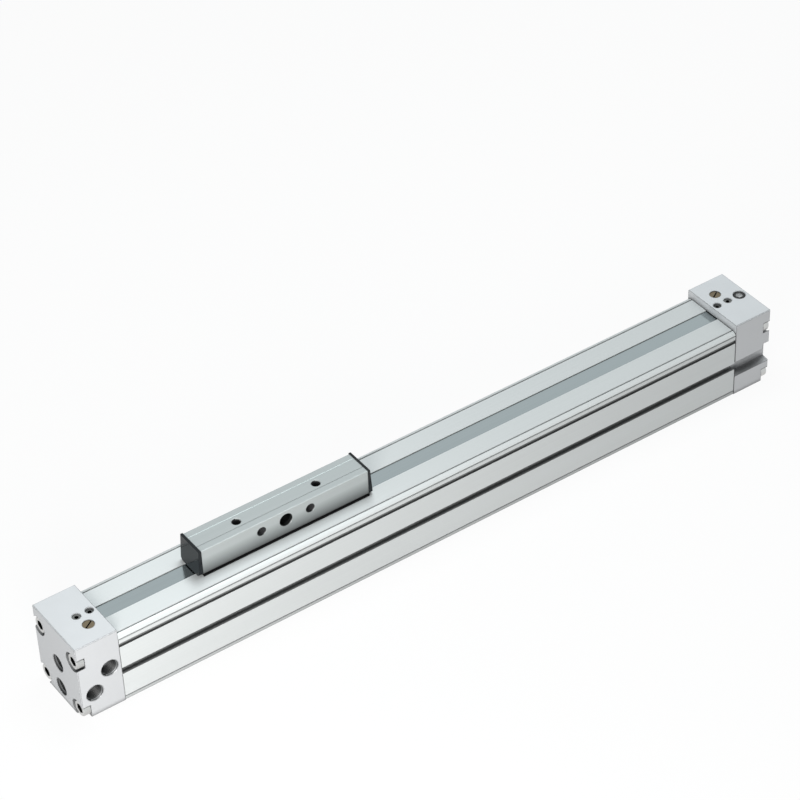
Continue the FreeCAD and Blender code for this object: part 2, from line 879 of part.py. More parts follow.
def outer_band(x0, x1):
    return box(x0, x1, -band_width / 2, band_width / 2, band_low, band_high)


def inner_belt(x0, x1):
    """A belt whose underside completes the bore's circle."""
    blank = box(x0, x1, -belt_width / 2, belt_width / 2, bore_axis_height, belt_high)
    return blank.cut(rod_x(x0 - past, x1 + past, 0, bore_axis_height, bore_radius))


def slide_table():
    half = table_width / 2
    block = box(-table_half, table_half, -half, half, wall_low, table_top)
    top_edges = [
        e for e in block.Edges
        if abs(e.CenterOfMass.z - table_top) < touch and abs(e.CenterOfMass.x) < touch
    ]
    block = block.makeFillet(table_edge, top_edges)
    cuts = [
        box(
            -table_half - past, table_half + past, -table_cavity_width / 2, table_cavity_width / 2,
            wall_low - past, table_cavity_roof,
        )
    ]
    radius = table_hole_diameter / 2
    for side in (-1, 1):
        y0 = side * table_groove_offset - table_groove_width / 2
        cuts.append(
            box(
                -table_half - past, table_half + past, y0, y0 + table_groove_width,
                table_top - table_groove_depth, table_top + past,
            )
        )
        x = side * top_hole_pitch / 2
        cuts.append(rod_z(table_top - table_hole_depth, table_top + past, x, 0, radius))
        cuts.append(mouth(Vector(x, 0, table_top), Vector(0, 0, 1), radius, table_hole_mouth))
        x = side * side_hole_pitch / 2
        cuts.append(rod_y(-half - past, half + past, x, side_hole_height, radius))
        for out in (-1, 1):
            face = Vector(x, out * half, side_hole_height)
            cuts.append(mouth(face, Vector(0, out, 0), radius, table_hole_mouth))
        pin_x = side * clamp_pin_spacing / 2
        cuts.append(rod_y(0, half + past, pin_x, clamp_pin_height, clamp_pin_diameter / 2))
    cuts.append(rod_y(-half - past, half + past, 0, side_hole_height, pivot_hole_diameter / 2))
    for out in (-1, 1):
        face = Vector(0, out * half, side_hole_height)
        cuts.append(mouth(face, Vector(0, out, 0), pivot_hole_diameter / 2, table_hole_mouth))
    return block.cut(cuts)


def end_plate():
    """The near end plate of the slide table, thicker towards its foot, with bevelled lower corners."""
    half = table_width / 2 + end_plate_margin
    low = profile_height + slide_gap
    high = table_top + end_plate_margin
    section = [
        (-table_half, low),
        (-carriage_half - end_plate_lean, low),
        (-carriage_half, high),
        (-table_half, high),
    ]
    edges = [line(*a, *b) for a, b in zip(section, section[1:] + section[:1])]
    plate = extrude_across(edges, 2 * half)
    feet = [
        e for e in plate.Edges
        if abs(e.CenterOfMass.z - low) < touch and abs(abs(e.CenterOfMass.y) - half) < touch
    ]
    plate = plate.makeChamfer(end_plate_foot, feet)
    leaning = max(
        (f for f in plate.Faces if f.normalAt(0, 0).x < -0.9), key=lambda face: face.Area
    )
    plate = plate.makeFillet(end_plate_edge, leaning.Edges)
    tongue = box(
        -carriage_half, -table_half, -wiper_width / 2, wiper_width / 2,
        low - slide_gap - end_plate_tongue, low + past,
    )
    return plate.fuse(tongue)


def dust_wiper():
    """The strip behind the near end plate that wipes the outer band."""
    return box(
        -table_half, -table_half + wiper_thickness, -wiper_width / 2, wiper_width / 2,
        band_high + wiper_gap, wall_low,
    )


def skirt(side):
    """The plastic strip under one wall of the table, which slides on the barrel's top."""
    y0 = table_cavity_width / 2
    y1 = table_width / 2 - skirt_inset
    low = profile_height + slide_gap
    return side_box(side, -table_half, table_half, y0, y1, low, wall_low)


def clamp_pins():
    """Two socket set screws that lock the table on the head of the yoke."""
    pins = []
    for side in (-1, 1):
        x = side * clamp_pin_spacing / 2
        outer = table_width / 2 - clamp_pin_sink
        tip = head_width / 2 - clamp_pin_bite
        pin = rod_y(tip, outer, x, clamp_pin_height, clamp_pin_diameter / 2)
        socket = hexagon(
            Vector(x, outer, clamp_pin_height), Vector(0, 1, 0), clamp_pin_socket,
            clamp_pin_socket_depth,
        )
        pins.append(pin.cut(socket))
    return Part.makeCompound(pins)


def piston_yoke():
    """The carrier in the bore, with a neck through the slot and a head inside the table."""
    radius = bore_radius - yoke_clearance
    body = rod_x(-yoke_half_length, yoke_half_length, 0, bore_axis_height, radius)
    neck = box(
        -neck_length / 2, neck_length / 2, -neck_width / 2, neck_width / 2,
        bore_axis_height, head_top,
    )
    head = box(
        -neck_length / 2, neck_length / 2, -head_width / 2, head_width / 2, head_foot, head_top
    )
    head_edges = [
        e for e in head.Edges
        if abs(e.CenterOfMass.z - head_top) < touch and abs(e.CenterOfMass.y) < touch
    ]
    head = head.makeFillet(head_round, head_edges)
    yoke = body.fuse([neck, head])
    belt_flat = yoke_half_length - belt_bend_length
    offset = belt_strip_thickness / 2 + belt_tunnel_clearance
    opening = bend_block(
        yoke_half_length, belt_flat, belt_middle, belt_trough, -offset,
        belt_seat + past, belt_tunnel_width,
    )
    window = box(
        -belt_flat, belt_flat, -belt_tunnel_width / 2, belt_tunnel_width / 2,
        belt_trough - offset, belt_trough + offset,
    )
    guide_pocket = box(
        -yoke_half_length - past, -yoke_half_length + guide_length, -belt_tunnel_width / 2,
        belt_tunnel_width / 2, belt_trough, belt_seat + past,
    )
    stub = rod_x(
        -yoke_half_length - past, -yoke_half_length + stub_length, 0, bore_axis_height,
        stub_diameter / 2,
    )
    pin_x = yoke_half_length - stub_length / 2
    pin = rod_y(
        -bore_radius, bore_radius, -pin_x, bore_axis_height, stub_pin_diameter / 2
    )
    cuts = [window]
    for near in (opening, guide_pocket, stub, pin):
        cuts += [near, turned(near)]
    for side in (-1, 1):
        x = side * clamp_pin_spacing / 2
        dent = head_width / 2 - clamp_pin_bite
        cuts.append(rod_y(dent, head_width, x, clamp_pin_height, clamp_pin_diameter / 2))
    return yoke.cut(cuts)


def piston_end():
    """The plastic piston end at the near side, with grooves for its seal, magnet and wear ring."""
    radius = bore_radius - yoke_clearance
    body = rod_x(-piston_half_length, -yoke_half_length, 0, bore_axis_height, radius)
    face = [e for e in body.Edges if abs(e.CenterOfMass.x + piston_half_length) < touch]
    body = body.makeChamfer(piston_nose, face)
    stub = rod_x(
        -yoke_half_length - past, -yoke_half_length + stub_length, 0, bore_axis_height,
        stub_diameter / 2,
    )
    front = -piston_half_length
    cuts = [
        rod_x(
            front - past, front + cushion_cavity_depth, 0, bore_axis_height,
            cushion_cavity_diameter / 2,
        ),
        rod_x(
            front + cushion_seal_setback, front + cushion_seal_setback + cushion_seal_width, 0,
            bore_axis_height, cushion_seal_diameter / 2,
        ),
        rod_y(
            -bore_radius, bore_radius, -yoke_half_length + stub_length / 2, bore_axis_height,
            stub_pin_diameter / 2,
        ),
    ]
    for setback, width, depth in (
        (seal_setback, seal_width, seal_depth),
        (magnet_setback, magnet_width, magnet_depth + magnet_sink),
        (wear_ring_setback, wear_ring_width, wear_ring_depth),
    ):
        cuts.append(ring_x(front + setback, front + setback + width, bore_radius, radius - depth))
    return body.fuse(stub).cut(cuts)


def piston_seal():
    """A lip ring that opens towards the near end."""
    x0 = -piston_half_length + seal_setback
    radius = bore_radius - running_fit
    ring = ring_x(x0, x0 + seal_width, radius, bore_radius - yoke_clearance - seal_depth)
    middle = radius - seal_lip - seal_lip_wall
    return ring.cut(ring_x(x0 - past, x0 + seal_width / 2, middle, middle - seal_lip))


def cushion_seal():
    x0 = -piston_half_length + cushion_seal_setback
    return ring_x(
        x0, x0 + cushion_seal_width, cushion_seal_diameter / 2, boss_diameter / 2 + cushion_fit
    )


def switch_magnet():
    x0 = -piston_half_length + magnet_setback
    outer = bore_radius - yoke_clearance - magnet_sink
    return ring_x(x0, x0 + magnet_width, outer, outer - magnet_depth)


def wear_ring():
    x0 = -piston_half_length + wear_ring_setback
    inner = bore_radius - yoke_clearance - wear_ring_depth
    ring = ring_x(x0, x0 + wear_ring_width, bore_radius - running_fit, inner)
    split = box(
        x0 - past, x0 + wear_ring_width + past, -wear_ring_split / 2, wear_ring_split / 2, 0,
        bore_axis_height,
    )
    return ring.cut(split)


def stub_pins():
    """Cross pins that hold the two piston ends in the yoke."""
    x = -yoke_half_length + stub_length / 2
    half = stub_pin_length / 2
    pin = rod_y(-half, half, x, bore_axis_height, stub_pin_diameter / 2)
    return Part.makeCompound([pin, turned(pin)])


def belt_guide():
    """The ramp in the near end of the yoke that presses the inner belt to its seat."""
    belt_flat = yoke_half_length - belt_bend_length
    offset = belt_strip_thickness / 2 + guide_gap
    under = bend_block(
        yoke_half_length, belt_flat, belt_middle, belt_trough, -offset, belt_trough,
        belt_tunnel_width,
    )
    limit = box(
        -yoke_half_length, -yoke_half_length + guide_length, -belt_width, belt_width,
        belt_trough, belt_seat,
    )
    bore = rod_x(
        -yoke_half_length, 0, 0, bore_axis_height, bore_radius - yoke_clearance
    )
    return under.common(limit).common(bore)


def band_guide():
    """The shoe in the near end of the table that presses the outer band to its seat."""
    start = table_half - wiper_thickness
    flat = start - band_bend_length
    offset = band_thickness / 2 + guide_gap
    above = bend_block(
        start, flat, band_middle, band_crest, offset, table_cavity_roof, band_width
    )
    limit = box(
        -start, -start + guide_length, -band_width, band_width, channel_floor,
        table_cavity_roof,
    )
    return above.common(limit)


def outer_band_arch():
    """The stretch of the outer band that runs over the head of the yoke, inside the table."""
    start = table_half - wiper_thickness
    arch = arched_strip(
        start, start - band_bend_length, band_middle, band_crest, band_thickness, band_width
    )
    lead = box(
        -carriage_half + strip_joint_gap, -start, -band_width / 2, band_width / 2, band_low, band_high
    )
    return arch.fuse([lead, turned(lead)]).removeSplitter()


def inner_belt_arch():
    """The stretch of the inner belt that runs under the neck of the yoke."""
    reach = yoke_half_length
    return arched_strip(
        reach, reach - belt_bend_length, belt_middle, belt_trough, belt_strip_thickness, belt_width
    )


def build():
    nodes = {}

    def pair(name, near, place=lambda shape: shape):
        nodes[name + "_near"] = place(near)
        nodes[name + "_far"] = place(turned(near))

    nodes["profile_tube"] = profile_tube()
    nodes["end_cap_near"] = end_cap(False)
    nodes["end_cap_far"] = turned(end_cap(True))
    nodes["service_plug"] = turned(service_plug())
    nodes["magnet_strip_front"] = magnet_strip(-1)
    nodes["magnet_strip_back"] = magnet_strip(1)
    nodes["duct_seals"] = duct_seals()
    pair("cap_gasket", cap_gasket())
    pair("cap_bolts", cap_bolts())
    pair("bore_ring", bore_ring())
    pair("cushion_boss", cushion_boss())
    pair("end_bumper", end_bumper())
    pair("clamp_screws", clamp_screws())
    pair("band_clamp", band_clamp())
    pair("belt_clamp", belt_clamp())
    pair("cushion_needle", cushion_needle())
    pair("needle_ring", needle_ring())

    band_end = end_x + band_pocket_depth
    belt_end = end_x + belt_pocket_depth
    near_mouth = table_rest_offset - carriage_half
    far_mouth = table_rest_offset + carriage_half
    nodes["outer_band_near"] = outer_band(-band_end, near_mouth)
    nodes["outer_band_far"] = outer_band(far_mouth, band_end)
    belt_near = table_rest_offset - yoke_half_length - strip_joint_gap
    belt_far = table_rest_offset + yoke_half_length + strip_joint_gap
    nodes["inner_belt_near"] = inner_belt(-belt_end, belt_near)
    nodes["inner_belt_far"] = inner_belt(belt_far, belt_end)

    nodes["slide_table"] = at_carriage(slide_table())
    nodes["skirt_front"] = at_carriage(skirt(-1))
    nodes["skirt_back"] = at_carriage(skirt(1))
    nodes["clamp_pins"] = at_carriage(clamp_pins())
    nodes["piston_yoke"] = at_carriage(piston_yoke())
    nodes["stub_pins"] = at_carriage(stub_pins())
    nodes["outer_band_arch"] = at_carriage(outer_band_arch())
    nodes["inner_belt_arch"] = at_carriage(inner_belt_arch())
    pair("end_plate", end_plate(), at_carriage)
    pair("dust_wiper", dust_wiper(), at_carriage)
    pair("band_guide", band_guide(), at_carriage)
    pair("belt_guide", belt_guide(), at_carriage)
    pair("piston_end", piston_end(), at_carriage)
    pair("piston_seal", piston_seal(), at_carriage)
    pair("cushion_seal", cushion_seal(), at_carriage)
    pair("switch_magnet", switch_magnet(), at_carriage)
    pair("wear_ring", wear_ring(), at_carriage)
    return nodes


def main():
    os.makedirs("parts", exist_ok=True)
    nodes = build()
    for name, shape in nodes.items():
        shape.exportStep("parts/" + name + ".step")
    print(len(nodes), "parts written")


main()
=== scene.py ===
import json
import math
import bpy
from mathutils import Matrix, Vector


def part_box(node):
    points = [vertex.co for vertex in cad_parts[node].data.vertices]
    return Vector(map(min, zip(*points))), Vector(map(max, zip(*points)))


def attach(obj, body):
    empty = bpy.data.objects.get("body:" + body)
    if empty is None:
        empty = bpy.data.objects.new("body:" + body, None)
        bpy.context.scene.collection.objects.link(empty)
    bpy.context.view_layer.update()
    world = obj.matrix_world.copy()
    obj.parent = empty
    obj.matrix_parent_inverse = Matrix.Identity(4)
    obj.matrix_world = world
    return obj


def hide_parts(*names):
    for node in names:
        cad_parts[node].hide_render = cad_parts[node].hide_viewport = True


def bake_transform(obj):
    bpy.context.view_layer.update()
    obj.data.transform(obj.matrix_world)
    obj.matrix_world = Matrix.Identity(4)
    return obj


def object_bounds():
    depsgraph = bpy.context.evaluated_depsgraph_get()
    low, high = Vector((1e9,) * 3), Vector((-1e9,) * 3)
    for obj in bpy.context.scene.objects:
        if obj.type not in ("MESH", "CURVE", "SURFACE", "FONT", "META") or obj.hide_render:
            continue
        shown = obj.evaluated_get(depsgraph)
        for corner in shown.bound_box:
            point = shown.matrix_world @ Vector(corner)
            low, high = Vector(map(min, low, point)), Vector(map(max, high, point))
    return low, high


bl_info = {
    "name": "Rodless Cylinder",
    "version": (1, 0, 0),
    "blender": (4, 5, 0),
    "location": "View3D > Sidebar > Cylinder",
    "description": "Finishes a rodless pneumatic cylinder and sets up its studio",
    "category": "Object",
}

from typing import NamedTuple

import bmesh
import bpy
from bpy.props import (
    FloatProperty,
    FloatVectorProperty,
    IntProperty,
    PointerProperty,
)
from bpy.types import Operator, Panel, PropertyGroup
from mathutils import Matrix, Vector

MM = 0.001

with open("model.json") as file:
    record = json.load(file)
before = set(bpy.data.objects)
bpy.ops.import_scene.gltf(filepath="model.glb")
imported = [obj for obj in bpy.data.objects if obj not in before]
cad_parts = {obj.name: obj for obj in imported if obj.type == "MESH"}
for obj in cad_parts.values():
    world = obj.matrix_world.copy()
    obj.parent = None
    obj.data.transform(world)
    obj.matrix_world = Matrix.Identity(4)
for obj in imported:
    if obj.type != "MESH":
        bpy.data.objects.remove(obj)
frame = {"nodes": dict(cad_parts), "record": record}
cad_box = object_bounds()
mounts = {mount["name"]: mount for mount in frame["record"]["mounts"]}


# Settings

def length_setting(name, description, default):
    """A length in metres, as a property."""
    return FloatProperty(
        name=name, description=description, default=default, min=0.0, unit="LENGTH", precision=5
    )


def share_setting(name, description, default):
    """A number from 0 to 1, as a property."""
    return FloatProperty(
        name=name, description=description, default=default, min=0.0, max=1.0, subtype="FACTOR"
    )


def number_setting(name, description, default):
    """A plain number from 0 up, as a property."""
    return FloatProperty(name=name, description=description, default=default, min=0.0)


def angle_setting(name, description, default):
    """An angle in radians, as a property."""
    return FloatProperty(name=name, description=description, default=default, subtype="ANGLE")


def colour_setting(name, description, default):
    """A linear colour, as a property."""
    return FloatVectorProperty(
        name=name, description=description, default=default, min=0.0, max=1.0, subtype="COLOR"
    )


class BarrelSettings(PropertyGroup):
    """The drawn aluminium profile."""

    colour: colour_setting("Colour", "Clear anodised aluminium of the profile", (0.64, 0.66, 0.66))
    roughness: share_setting("Roughness", "How matt the anodised surface is", 0.42)
    line_width: length_setting("Line Width", "Width of the lines that the die leaves", 0.35 * MM)
    line_length: length_setting("Line Length", "Length of the lines along the barrel", 160 * MM)
    # Painted shade at the foot of the profile: darker towards the bottom.
    foot: length_setting("Foot", "Height of the duller strip at the foot", 3.4 * MM)
    foot_shade_tone: share_setting("Foot Tone", "How light the foot stays", 0.5)
    # Painted shade on the walls of the slots, between these heights.
    slots_low: length_setting("Slots Low", "From the foot up to the dark slots", 10 * MM)
    slots_high: length_setting("Slots High", "From the top down to the dark slots", 4 * MM)
    slot_shade_tone: share_setting("Slot Tone", "How light the slots' walls stay", 0.5)


class BandSettings(PropertyGroup):
    """The steel band that covers the slot, and the belt inside the bore."""

    colour: colour_setting("Colour", "Polished strip steel", (0.36, 0.40, 0.41))
    roughness: share_setting("Roughness", "How blurred the band's reflections are", 0.13)
    belt_colour: colour_setting("Belt Colour", "Plastic of the inner belt", (0.62, 0.60, 0.50))


class CapSettings(PropertyGroup):
    """The end caps, their screws and their threads."""

    colour: colour_setting("Colour", "Clear anodised aluminium of the caps", (0.605, 0.615, 0.63))
    roughness: share_setting("Roughness", "How matt the caps are", 0.42)
    grain: length_setting("Grain", "Size of the blasted surface's grain", 0.12 * MM)
    # Painted shade: the caps' edges are darkened in colour, as shade on their chamfers.
    edge_wear_and_shade_tone: share_setting("Edge Tone", "How light the cap's edges stay", 0.2)
    edge_width: length_setting("Edge Width", "Width of the cap's dark edges", 0.6 * MM)
    # Painted light and shade: the caps' tops are lighter and their sides darker in colour.
    side_shade_tone: number_setting("Side Tone", "Tone of the cap's sides", 0.92)
    top_light_tone: number_setting("Top Tone", "Tone of the cap's milled top", 1.09)
    screw_colour: colour_setting("Screw Colour", "Zinc plated steel", (0.56, 0.56, 0.55))
    head_diameter: length_setting("Head Diameter", "Head of a cap screw", 9.2 * MM)
    head_height: length_setting("Head Height", "Height of a cap screw's head", 4.2 * MM)
    head_edge: length_setting("Head Edge", "Chamfer round the head", 0.4 * MM)
    shank_diameter: length_setting("Shank Diameter", "Shank of a cap screw", 5.9 * MM)
    socket_width: length_setting("Socket Width", "Across the flats of the socket", 5.0 * MM)
    socket_depth: length_setting("Socket Depth", "Depth of the socket", 2.6 * MM)
    knurl_teeth: IntProperty(
        name="Knurl Teeth", description="Teeth round a cap screw's head", default=36, min=6
    )
    knurl_depth: length_setting("Knurl Depth", "Depth of the knurl", 0.12 * MM)
    port_pitch: length_setting("Port Pitch", "Pitch of the pipe thread", 0.907 * MM)
    port_thread: length_setting("Port Thread", "Depth of the pipe thread", 0.5 * MM)
    foot_thread: length_setting("Foot Thread", "Length of the threads under a cap", 6 * MM)


class CarriageSettings(PropertyGroup):
    """The slide table with its end plates and skirts."""

    colour: colour_setting("Colour", "Anodised aluminium of the table", (0.43, 0.46, 0.46))
    roughness: share_setting("Roughness", "How matt the table is", 0.38)
    # Painted shade that darkens the table towards its foot.
    foot_shade_share: share_setting("Foot Share", "Share of the table's height that dulls", 0.66)
    foot_shade_tone: share_setting("Foot Tone", "How light the table's foot stays", 0.25)
    # Painted shade on the walls of the table's holes.
    hole_shade_tone: share_setting("Hole Tone", "How light the holes' walls stay", 0.06)
    # Margins that the painted shade in the holes leaves light.
    edge: length_setting("Edge", "Width of the long edges that stay light", 2 * MM)
    line_depth: length_setting("Line Depth", "Depth of the lines on top that stay light", 0.8 * MM)
    # Painted highlight along the back groove on top.
    groove_offset: length_setting("Groove Offset", "From mid width to the back groove", 4.3 * MM)
    groove_width: length_setting("Groove Width", "Width of the bright groove", 0.6 * MM)
    groove_highlight_tone: number_setting("Groove Tone", "Tone of the bright groove", 1.9)
    plate_colour: colour_setting("Plate Colour", "Glossy black end plates", (0.006, 0.008, 0.010))
    thread_pitch: length_setting("Thread Pitch", "Pitch of the mounting threads", 1.0 * MM)
    thread_depth: length_setting("Thread Depth", "Depth of the mounting threads", 0.3 * MM)
    top_thread: length_setting("Top Thread", "Length of the threads in the top", 7 * MM)
    # The lip is partly real and partly painted shadow: its black also stands for the shadow under
    # the table's foot.
    lip_reach: length_setting("Lip Reach", "Width of the lip on a skirt", 1.3 * MM)
    lip_root: length_setting("Lip Root", "How much of the lip is inside the skirt", 0.3 * MM)
    lip_height: length_setting("Lip Height", "Thickness of the lip", 0.8 * MM)


class StageSettings(PropertyGroup):
    """Camera, lamps, sky and floor."""

    azimuth: angle_setting("Azimuth", "Camera's turn about the vertical", -0.584728)
    elevation: angle_setting("Elevation", "Camera's height above the horizon", 0.689090)
    roll: angle_setting("Roll", "Camera's turn about its own line of sight", -0.045068)
    place: FloatVectorProperty(
        name="Place", description="Where the camera stands", default=(-0.6772, -1.0057, 1.0823),
        subtype="XYZ", unit="LENGTH",
    )
    focal_length: number_setting("Focal Length", "In millimetres on a 36 mm sensor", 135.41)
    sky: number_setting("Sky", "Strength of the even light", 0.39)
    sky_colour: colour_setting("Sky Colour", "Tint of the even light", (0.94, 0.99, 1.0))
    key: number_setting("Key", "Power of the lamp at the near end", 4.3)
    key_colour: colour_setting("Key Colour", "Tint of the lamp at the near end", (1.0, 0.99, 0.975))
    top: number_setting("Top", "Power of the lamp overhead", 2.2)
    top_colour: colour_setting("Top Colour", "Tint of the lamp overhead", (0.92, 0.98, 1.0))
    paper: share_setting("Paper", "How light the paper looks", 0.86)
    bounce: share_setting("Bounce", "How much light the paper throws back on the part", 0.22)
    glow: share_setting("Glow", "Share of the paper's look that takes no shadow", 0.92)
    paper_reach: number_setting("Paper Reach", "Half the paper's width in part lengths", 40.0)


# Meshes

def mesh_object(name, mesh):
    """A new object at the origin that shows the mesh."""
    piece = bpy.data.objects.new(name, mesh)
    bpy.context.scene.collection.objects.link(piece)
    return piece


def hex_radius(width, turn):
    """Distance from the middle of a hexagon to its side, at an angle."""
    sixth = math.pi / 3
    return width / 2 / math.cos(turn % sixth - sixth / 2)


def turned_mesh(name, rings, corners):
    """A closed body about Z from rings, each a height and a radius that may depend on the angle."""
    shape = bmesh.new()
    loops = []
    for height, radius in rings:
        loop = []
        for i in range(corners):
            turn = 2 * math.pi * i / corners
            reach = radius(turn) if callable(radius) else radius
            loop.append(shape.verts.new((reach * math.cos(turn), reach * math.sin(turn), height)))
        loops.append(loop)
    for low, high in zip(loops, loops[1:]):
        for i in range(corners):
            j = (i + 1) % corners
            shape.faces.new((low[i], low[j], high[j], high[i]))
    shape.faces.new(loops[0])
    shape.faces.new(loops[-1])
    bmesh.ops.recalc_face_normals(shape, faces=shape.faces)
    mesh = bpy.data.meshes.new(name)
    shape.to_mesh(mesh)
    shape.free()
    return mesh


def places_object(places):
    """Points that each carry the direction of a hole's or a screw's axis."""
    mesh = bpy.data.meshes.new("places")
    mesh.from_pydata([place for place, _ in places], [], [])
    axes = mesh.attributes.new("axis", "FLOAT_VECTOR", "POINT")
    for item, (_, axis) in zip(axes.data, places):
        item.vector = axis
    return mesh_object("places", mesh)


# Geometry node trees

def geometry_tree(name, inputs):
    """An empty tree with a geometry input and output and the named inputs between."""
    tree = bpy.data.node_groups.new(name, "GeometryNodeTree")
    tree.interface.new_socket("Geometry", in_out="INPUT", socket_type="NodeSocketGeometry")
    for label, kind in inputs:
        tree.interface.new_socket(label, in_out="INPUT", socket_type=kind)
    tree.interface.new_socket("Geometry", in_out="OUTPUT", socket_type="NodeSocketGeometry")
    return tree, tree.nodes.new("NodeGroupInput"), tree.nodes.new("NodeGroupOutput")


def stand_on_places(tree, given, instance):
    """Puts a real copy of the instance on every point, with its Z along the point's axis."""
    nodes, link = tree.nodes, tree.links.new
    axis = nodes.new("GeometryNodeInputNamedAttribute")
    axis.data_type = "FLOAT_VECTOR"
    axis.inputs["Name"].default_value = "axis"
    turn = nodes.new("FunctionNodeAlignRotationToVector")
    turn.axis = "Z"
    link(axis.outputs["Attribute"], turn.inputs["Vector"])
    stand = nodes.new("GeometryNodeInstanceOnPoints")
    link(given.outputs["Geometry"], stand.inputs["Points"])
    link(instance, stand.inputs["Instance"])
    link(turn.outputs["Rotation"], stand.inputs["Rotation"])
    real = nodes.new("GeometryNodeRealizeInstances")
    link(stand.outputs["Instances"], real.inputs["Geometry"])
    return real.outputs["Geometry"]


def finish_tree(tree, given, out, geometry):
    """Ends a tree with flat faces and its material."""
    nodes, link = tree.nodes, tree.links.new
    flat = nodes.new("GeometryNodeSetShadeSmooth")
    flat.inputs["Shade Smooth"].default_value = False
    link(geometry, flat.inputs["Geometry"])
    paint = nodes.new("GeometryNodeSetMaterial")
    link(flat.outputs["Geometry"], paint.inputs["Geometry"])
    link(given.outputs["Material"], paint.inputs["Material"])
    link(paint.outputs["Geometry"], out.inputs["Geometry"])


def screw_tree():
    """Repeats one screw at every point."""
    tree, given, out = geometry_tree(
        "Screws at places", [("Screw", "NodeSocketObject"), ("Material", "NodeSocketMaterial")]
    )
    info = tree.nodes.new("GeometryNodeObjectInfo")
    tree.links.new(given.outputs["Screw"], info.inputs["Object"])
    screws = stand_on_places(tree, given, info.outputs["Geometry"])
    finish_tree(tree, given, out, screws)


def thread_tree():
    """Winds a ridge down the wall of the hole at every point."""
    tree, given, out = geometry_tree(
        "Threads at places",
        [
            ("Radius", "NodeSocketFloat"),
            ("Ridge", "NodeSocketFloat"),
            ("Turns", "NodeSocketFloat"),
            ("Length", "NodeSocketFloat"),
            ("Material", "NodeSocketMaterial"),
        ],
    )
    nodes, link = tree.nodes, tree.links.new
    helix = nodes.new("GeometryNodeCurveSpiral")
    helix.inputs["Resolution"].default_value = 36
    link(given.outputs["Turns"], helix.inputs["Rotations"])
    link(given.outputs["Radius"], helix.inputs["Start Radius"])
    link(given.outputs["Radius"], helix.inputs["End Radius"])
    link(given.outputs["Length"], helix.inputs["Height"])
    upright = nodes.new("GeometryNodeSetCurveNormal")
    upright.mode = "Z_UP"
    link(helix.outputs["Curve"], upright.inputs["Curve"])
    ridge = nodes.new("GeometryNodeCurvePrimitiveCircle")
    ridge.inputs["Resolution"].default_value = 4
    link(given.outputs["Ridge"], ridge.inputs["Radius"])
    wind = nodes.new("GeometryNodeCurveToMesh")
    wind.inputs["Fill Caps"].default_value = True
    link(upright.outputs["Curve"], wind.inputs["Curve"])
    link(ridge.outputs["Curve"], wind.inputs["Profile Curve"])
    threads = stand_on_places(tree, given, wind.outputs["Mesh"])
    finish_tree(tree, given, out, threads)


def strip_tree():
    """Draws a flat strip between two points."""
    tree, given, out = geometry_tree(
        "Strip between points",
        [
            ("Start", "NodeSocketVector"),
            ("End", "NodeSocketVector"),
            ("Width", "NodeSocketFloat"),
            ("Thickness", "NodeSocketFloat"),
            ("Material", "NodeSocketMaterial"),
        ],
    )
    nodes, link = tree.nodes, tree.links.new
    path = nodes.new("GeometryNodeCurvePrimitiveLine")
    link(given.outputs["Start"], path.inputs["Start"])
    link(given.outputs["End"], path.inputs["End"])
    section = nodes.new("GeometryNodeCurvePrimitiveQuadrilateral")
    link(given.outputs["Width"], section.inputs["Width"])
    link(given.outputs["Thickness"], section.inputs["Height"])
    sweep = nodes.new("GeometryNodeCurveToMesh")
    sweep.inputs["Fill Caps"].default_value = True
    link(path.outputs["Curve"], sweep.inputs["Curve"])
    link(section.outputs["Curve"], sweep.inputs["Profile Curve"])
    finish_tree(tree, given, out, sweep.outputs["Mesh"])


def grown(name, places, tree_name, values):
    """A piece with the plain mesh that a tree makes at some places."""
    host = places_object(places)
    tree = bpy.data.node_groups[tree_name]
    modifier = host.modifiers.new("tree", "NODES")
    modifier.node_group = tree
    for item in tree.interface.items_tree:
        if item.item_type == "SOCKET" and item.in_out == "INPUT" and item.name in values:
            modifier[item.identifier] = values[item.name]
    host.update_tag()
    depsgraph = bpy.context.evaluated_depsgraph_get()
    mesh = bpy.data.meshes.new_from_object(host.evaluated_get(depsgraph), depsgraph=depsgraph)
    mesh.name = name
    bpy.data.objects.remove(host)
    if not mesh.polygons:
        raise RuntimeError(name + " came out empty")
    return mesh_object(name, mesh)


def strip(name, start, end, width, thickness, material):
    """A piece that is a flat strip between two points."""
    values = {
        "Start": start, "End": end, "Width": width, "Thickness": thickness, "Material": material,
    }
    return grown(name, [(start, Vector((1, 0, 0)))], "Strip between points", values)


# Shader node groups

def shader_group(name, inputs, outputs):
    """An empty shader node group with named inputs, their values, and outputs."""
    tree = bpy.data.node_groups.new(name, "ShaderNodeTree")
    for label, kind, value in inputs:
        socket = tree.interface.new_socket(label, in_out="INPUT", socket_type=kind)
        if value is not None:
            socket.default_value = value
    for label, kind in outputs:
        tree.interface.new_socket(label, in_out="OUTPUT", socket_type=kind)
    return tree, tree.nodes.new("NodeGroupInput"), tree.nodes.new("NodeGroupOutput")


def drawn_lines_group():
    """Fine lines along X, as a drawing die or a grinding belt leaves them."""
    tree, given, out = shader_group(
        "Drawn lines",
        [
            ("Vector", "NodeSocketVector", None),
            ("Length", "NodeSocketFloat", 160 * MM),
            ("Width", "NodeSocketFloat", 0.4 * MM),
        ],
        [("Lines", "NodeSocketFloat")],
    )
    nodes, link = tree.nodes, tree.links.new
    sizes = nodes.new("ShaderNodeCombineXYZ")
    for axis, label in (("X", "Length"), ("Y", "Width"), ("Z", "Width")):
        link(given.outputs[label], sizes.inputs[axis])
    stretch = nodes.new("ShaderNodeVectorMath")
    stretch.operation = "DIVIDE"
    link(given.outputs["Vector"], stretch.inputs[0])
    link(sizes.outputs[0], stretch.inputs[1])
    noise = nodes.new("ShaderNodeTexNoise")
    noise.inputs["Scale"].default_value = 1.0
    noise.inputs["Detail"].default_value = 3.0
    link(stretch.outputs[0], noise.inputs["Vector"])
    link(noise.outputs["Fac"], out.inputs["Lines"])


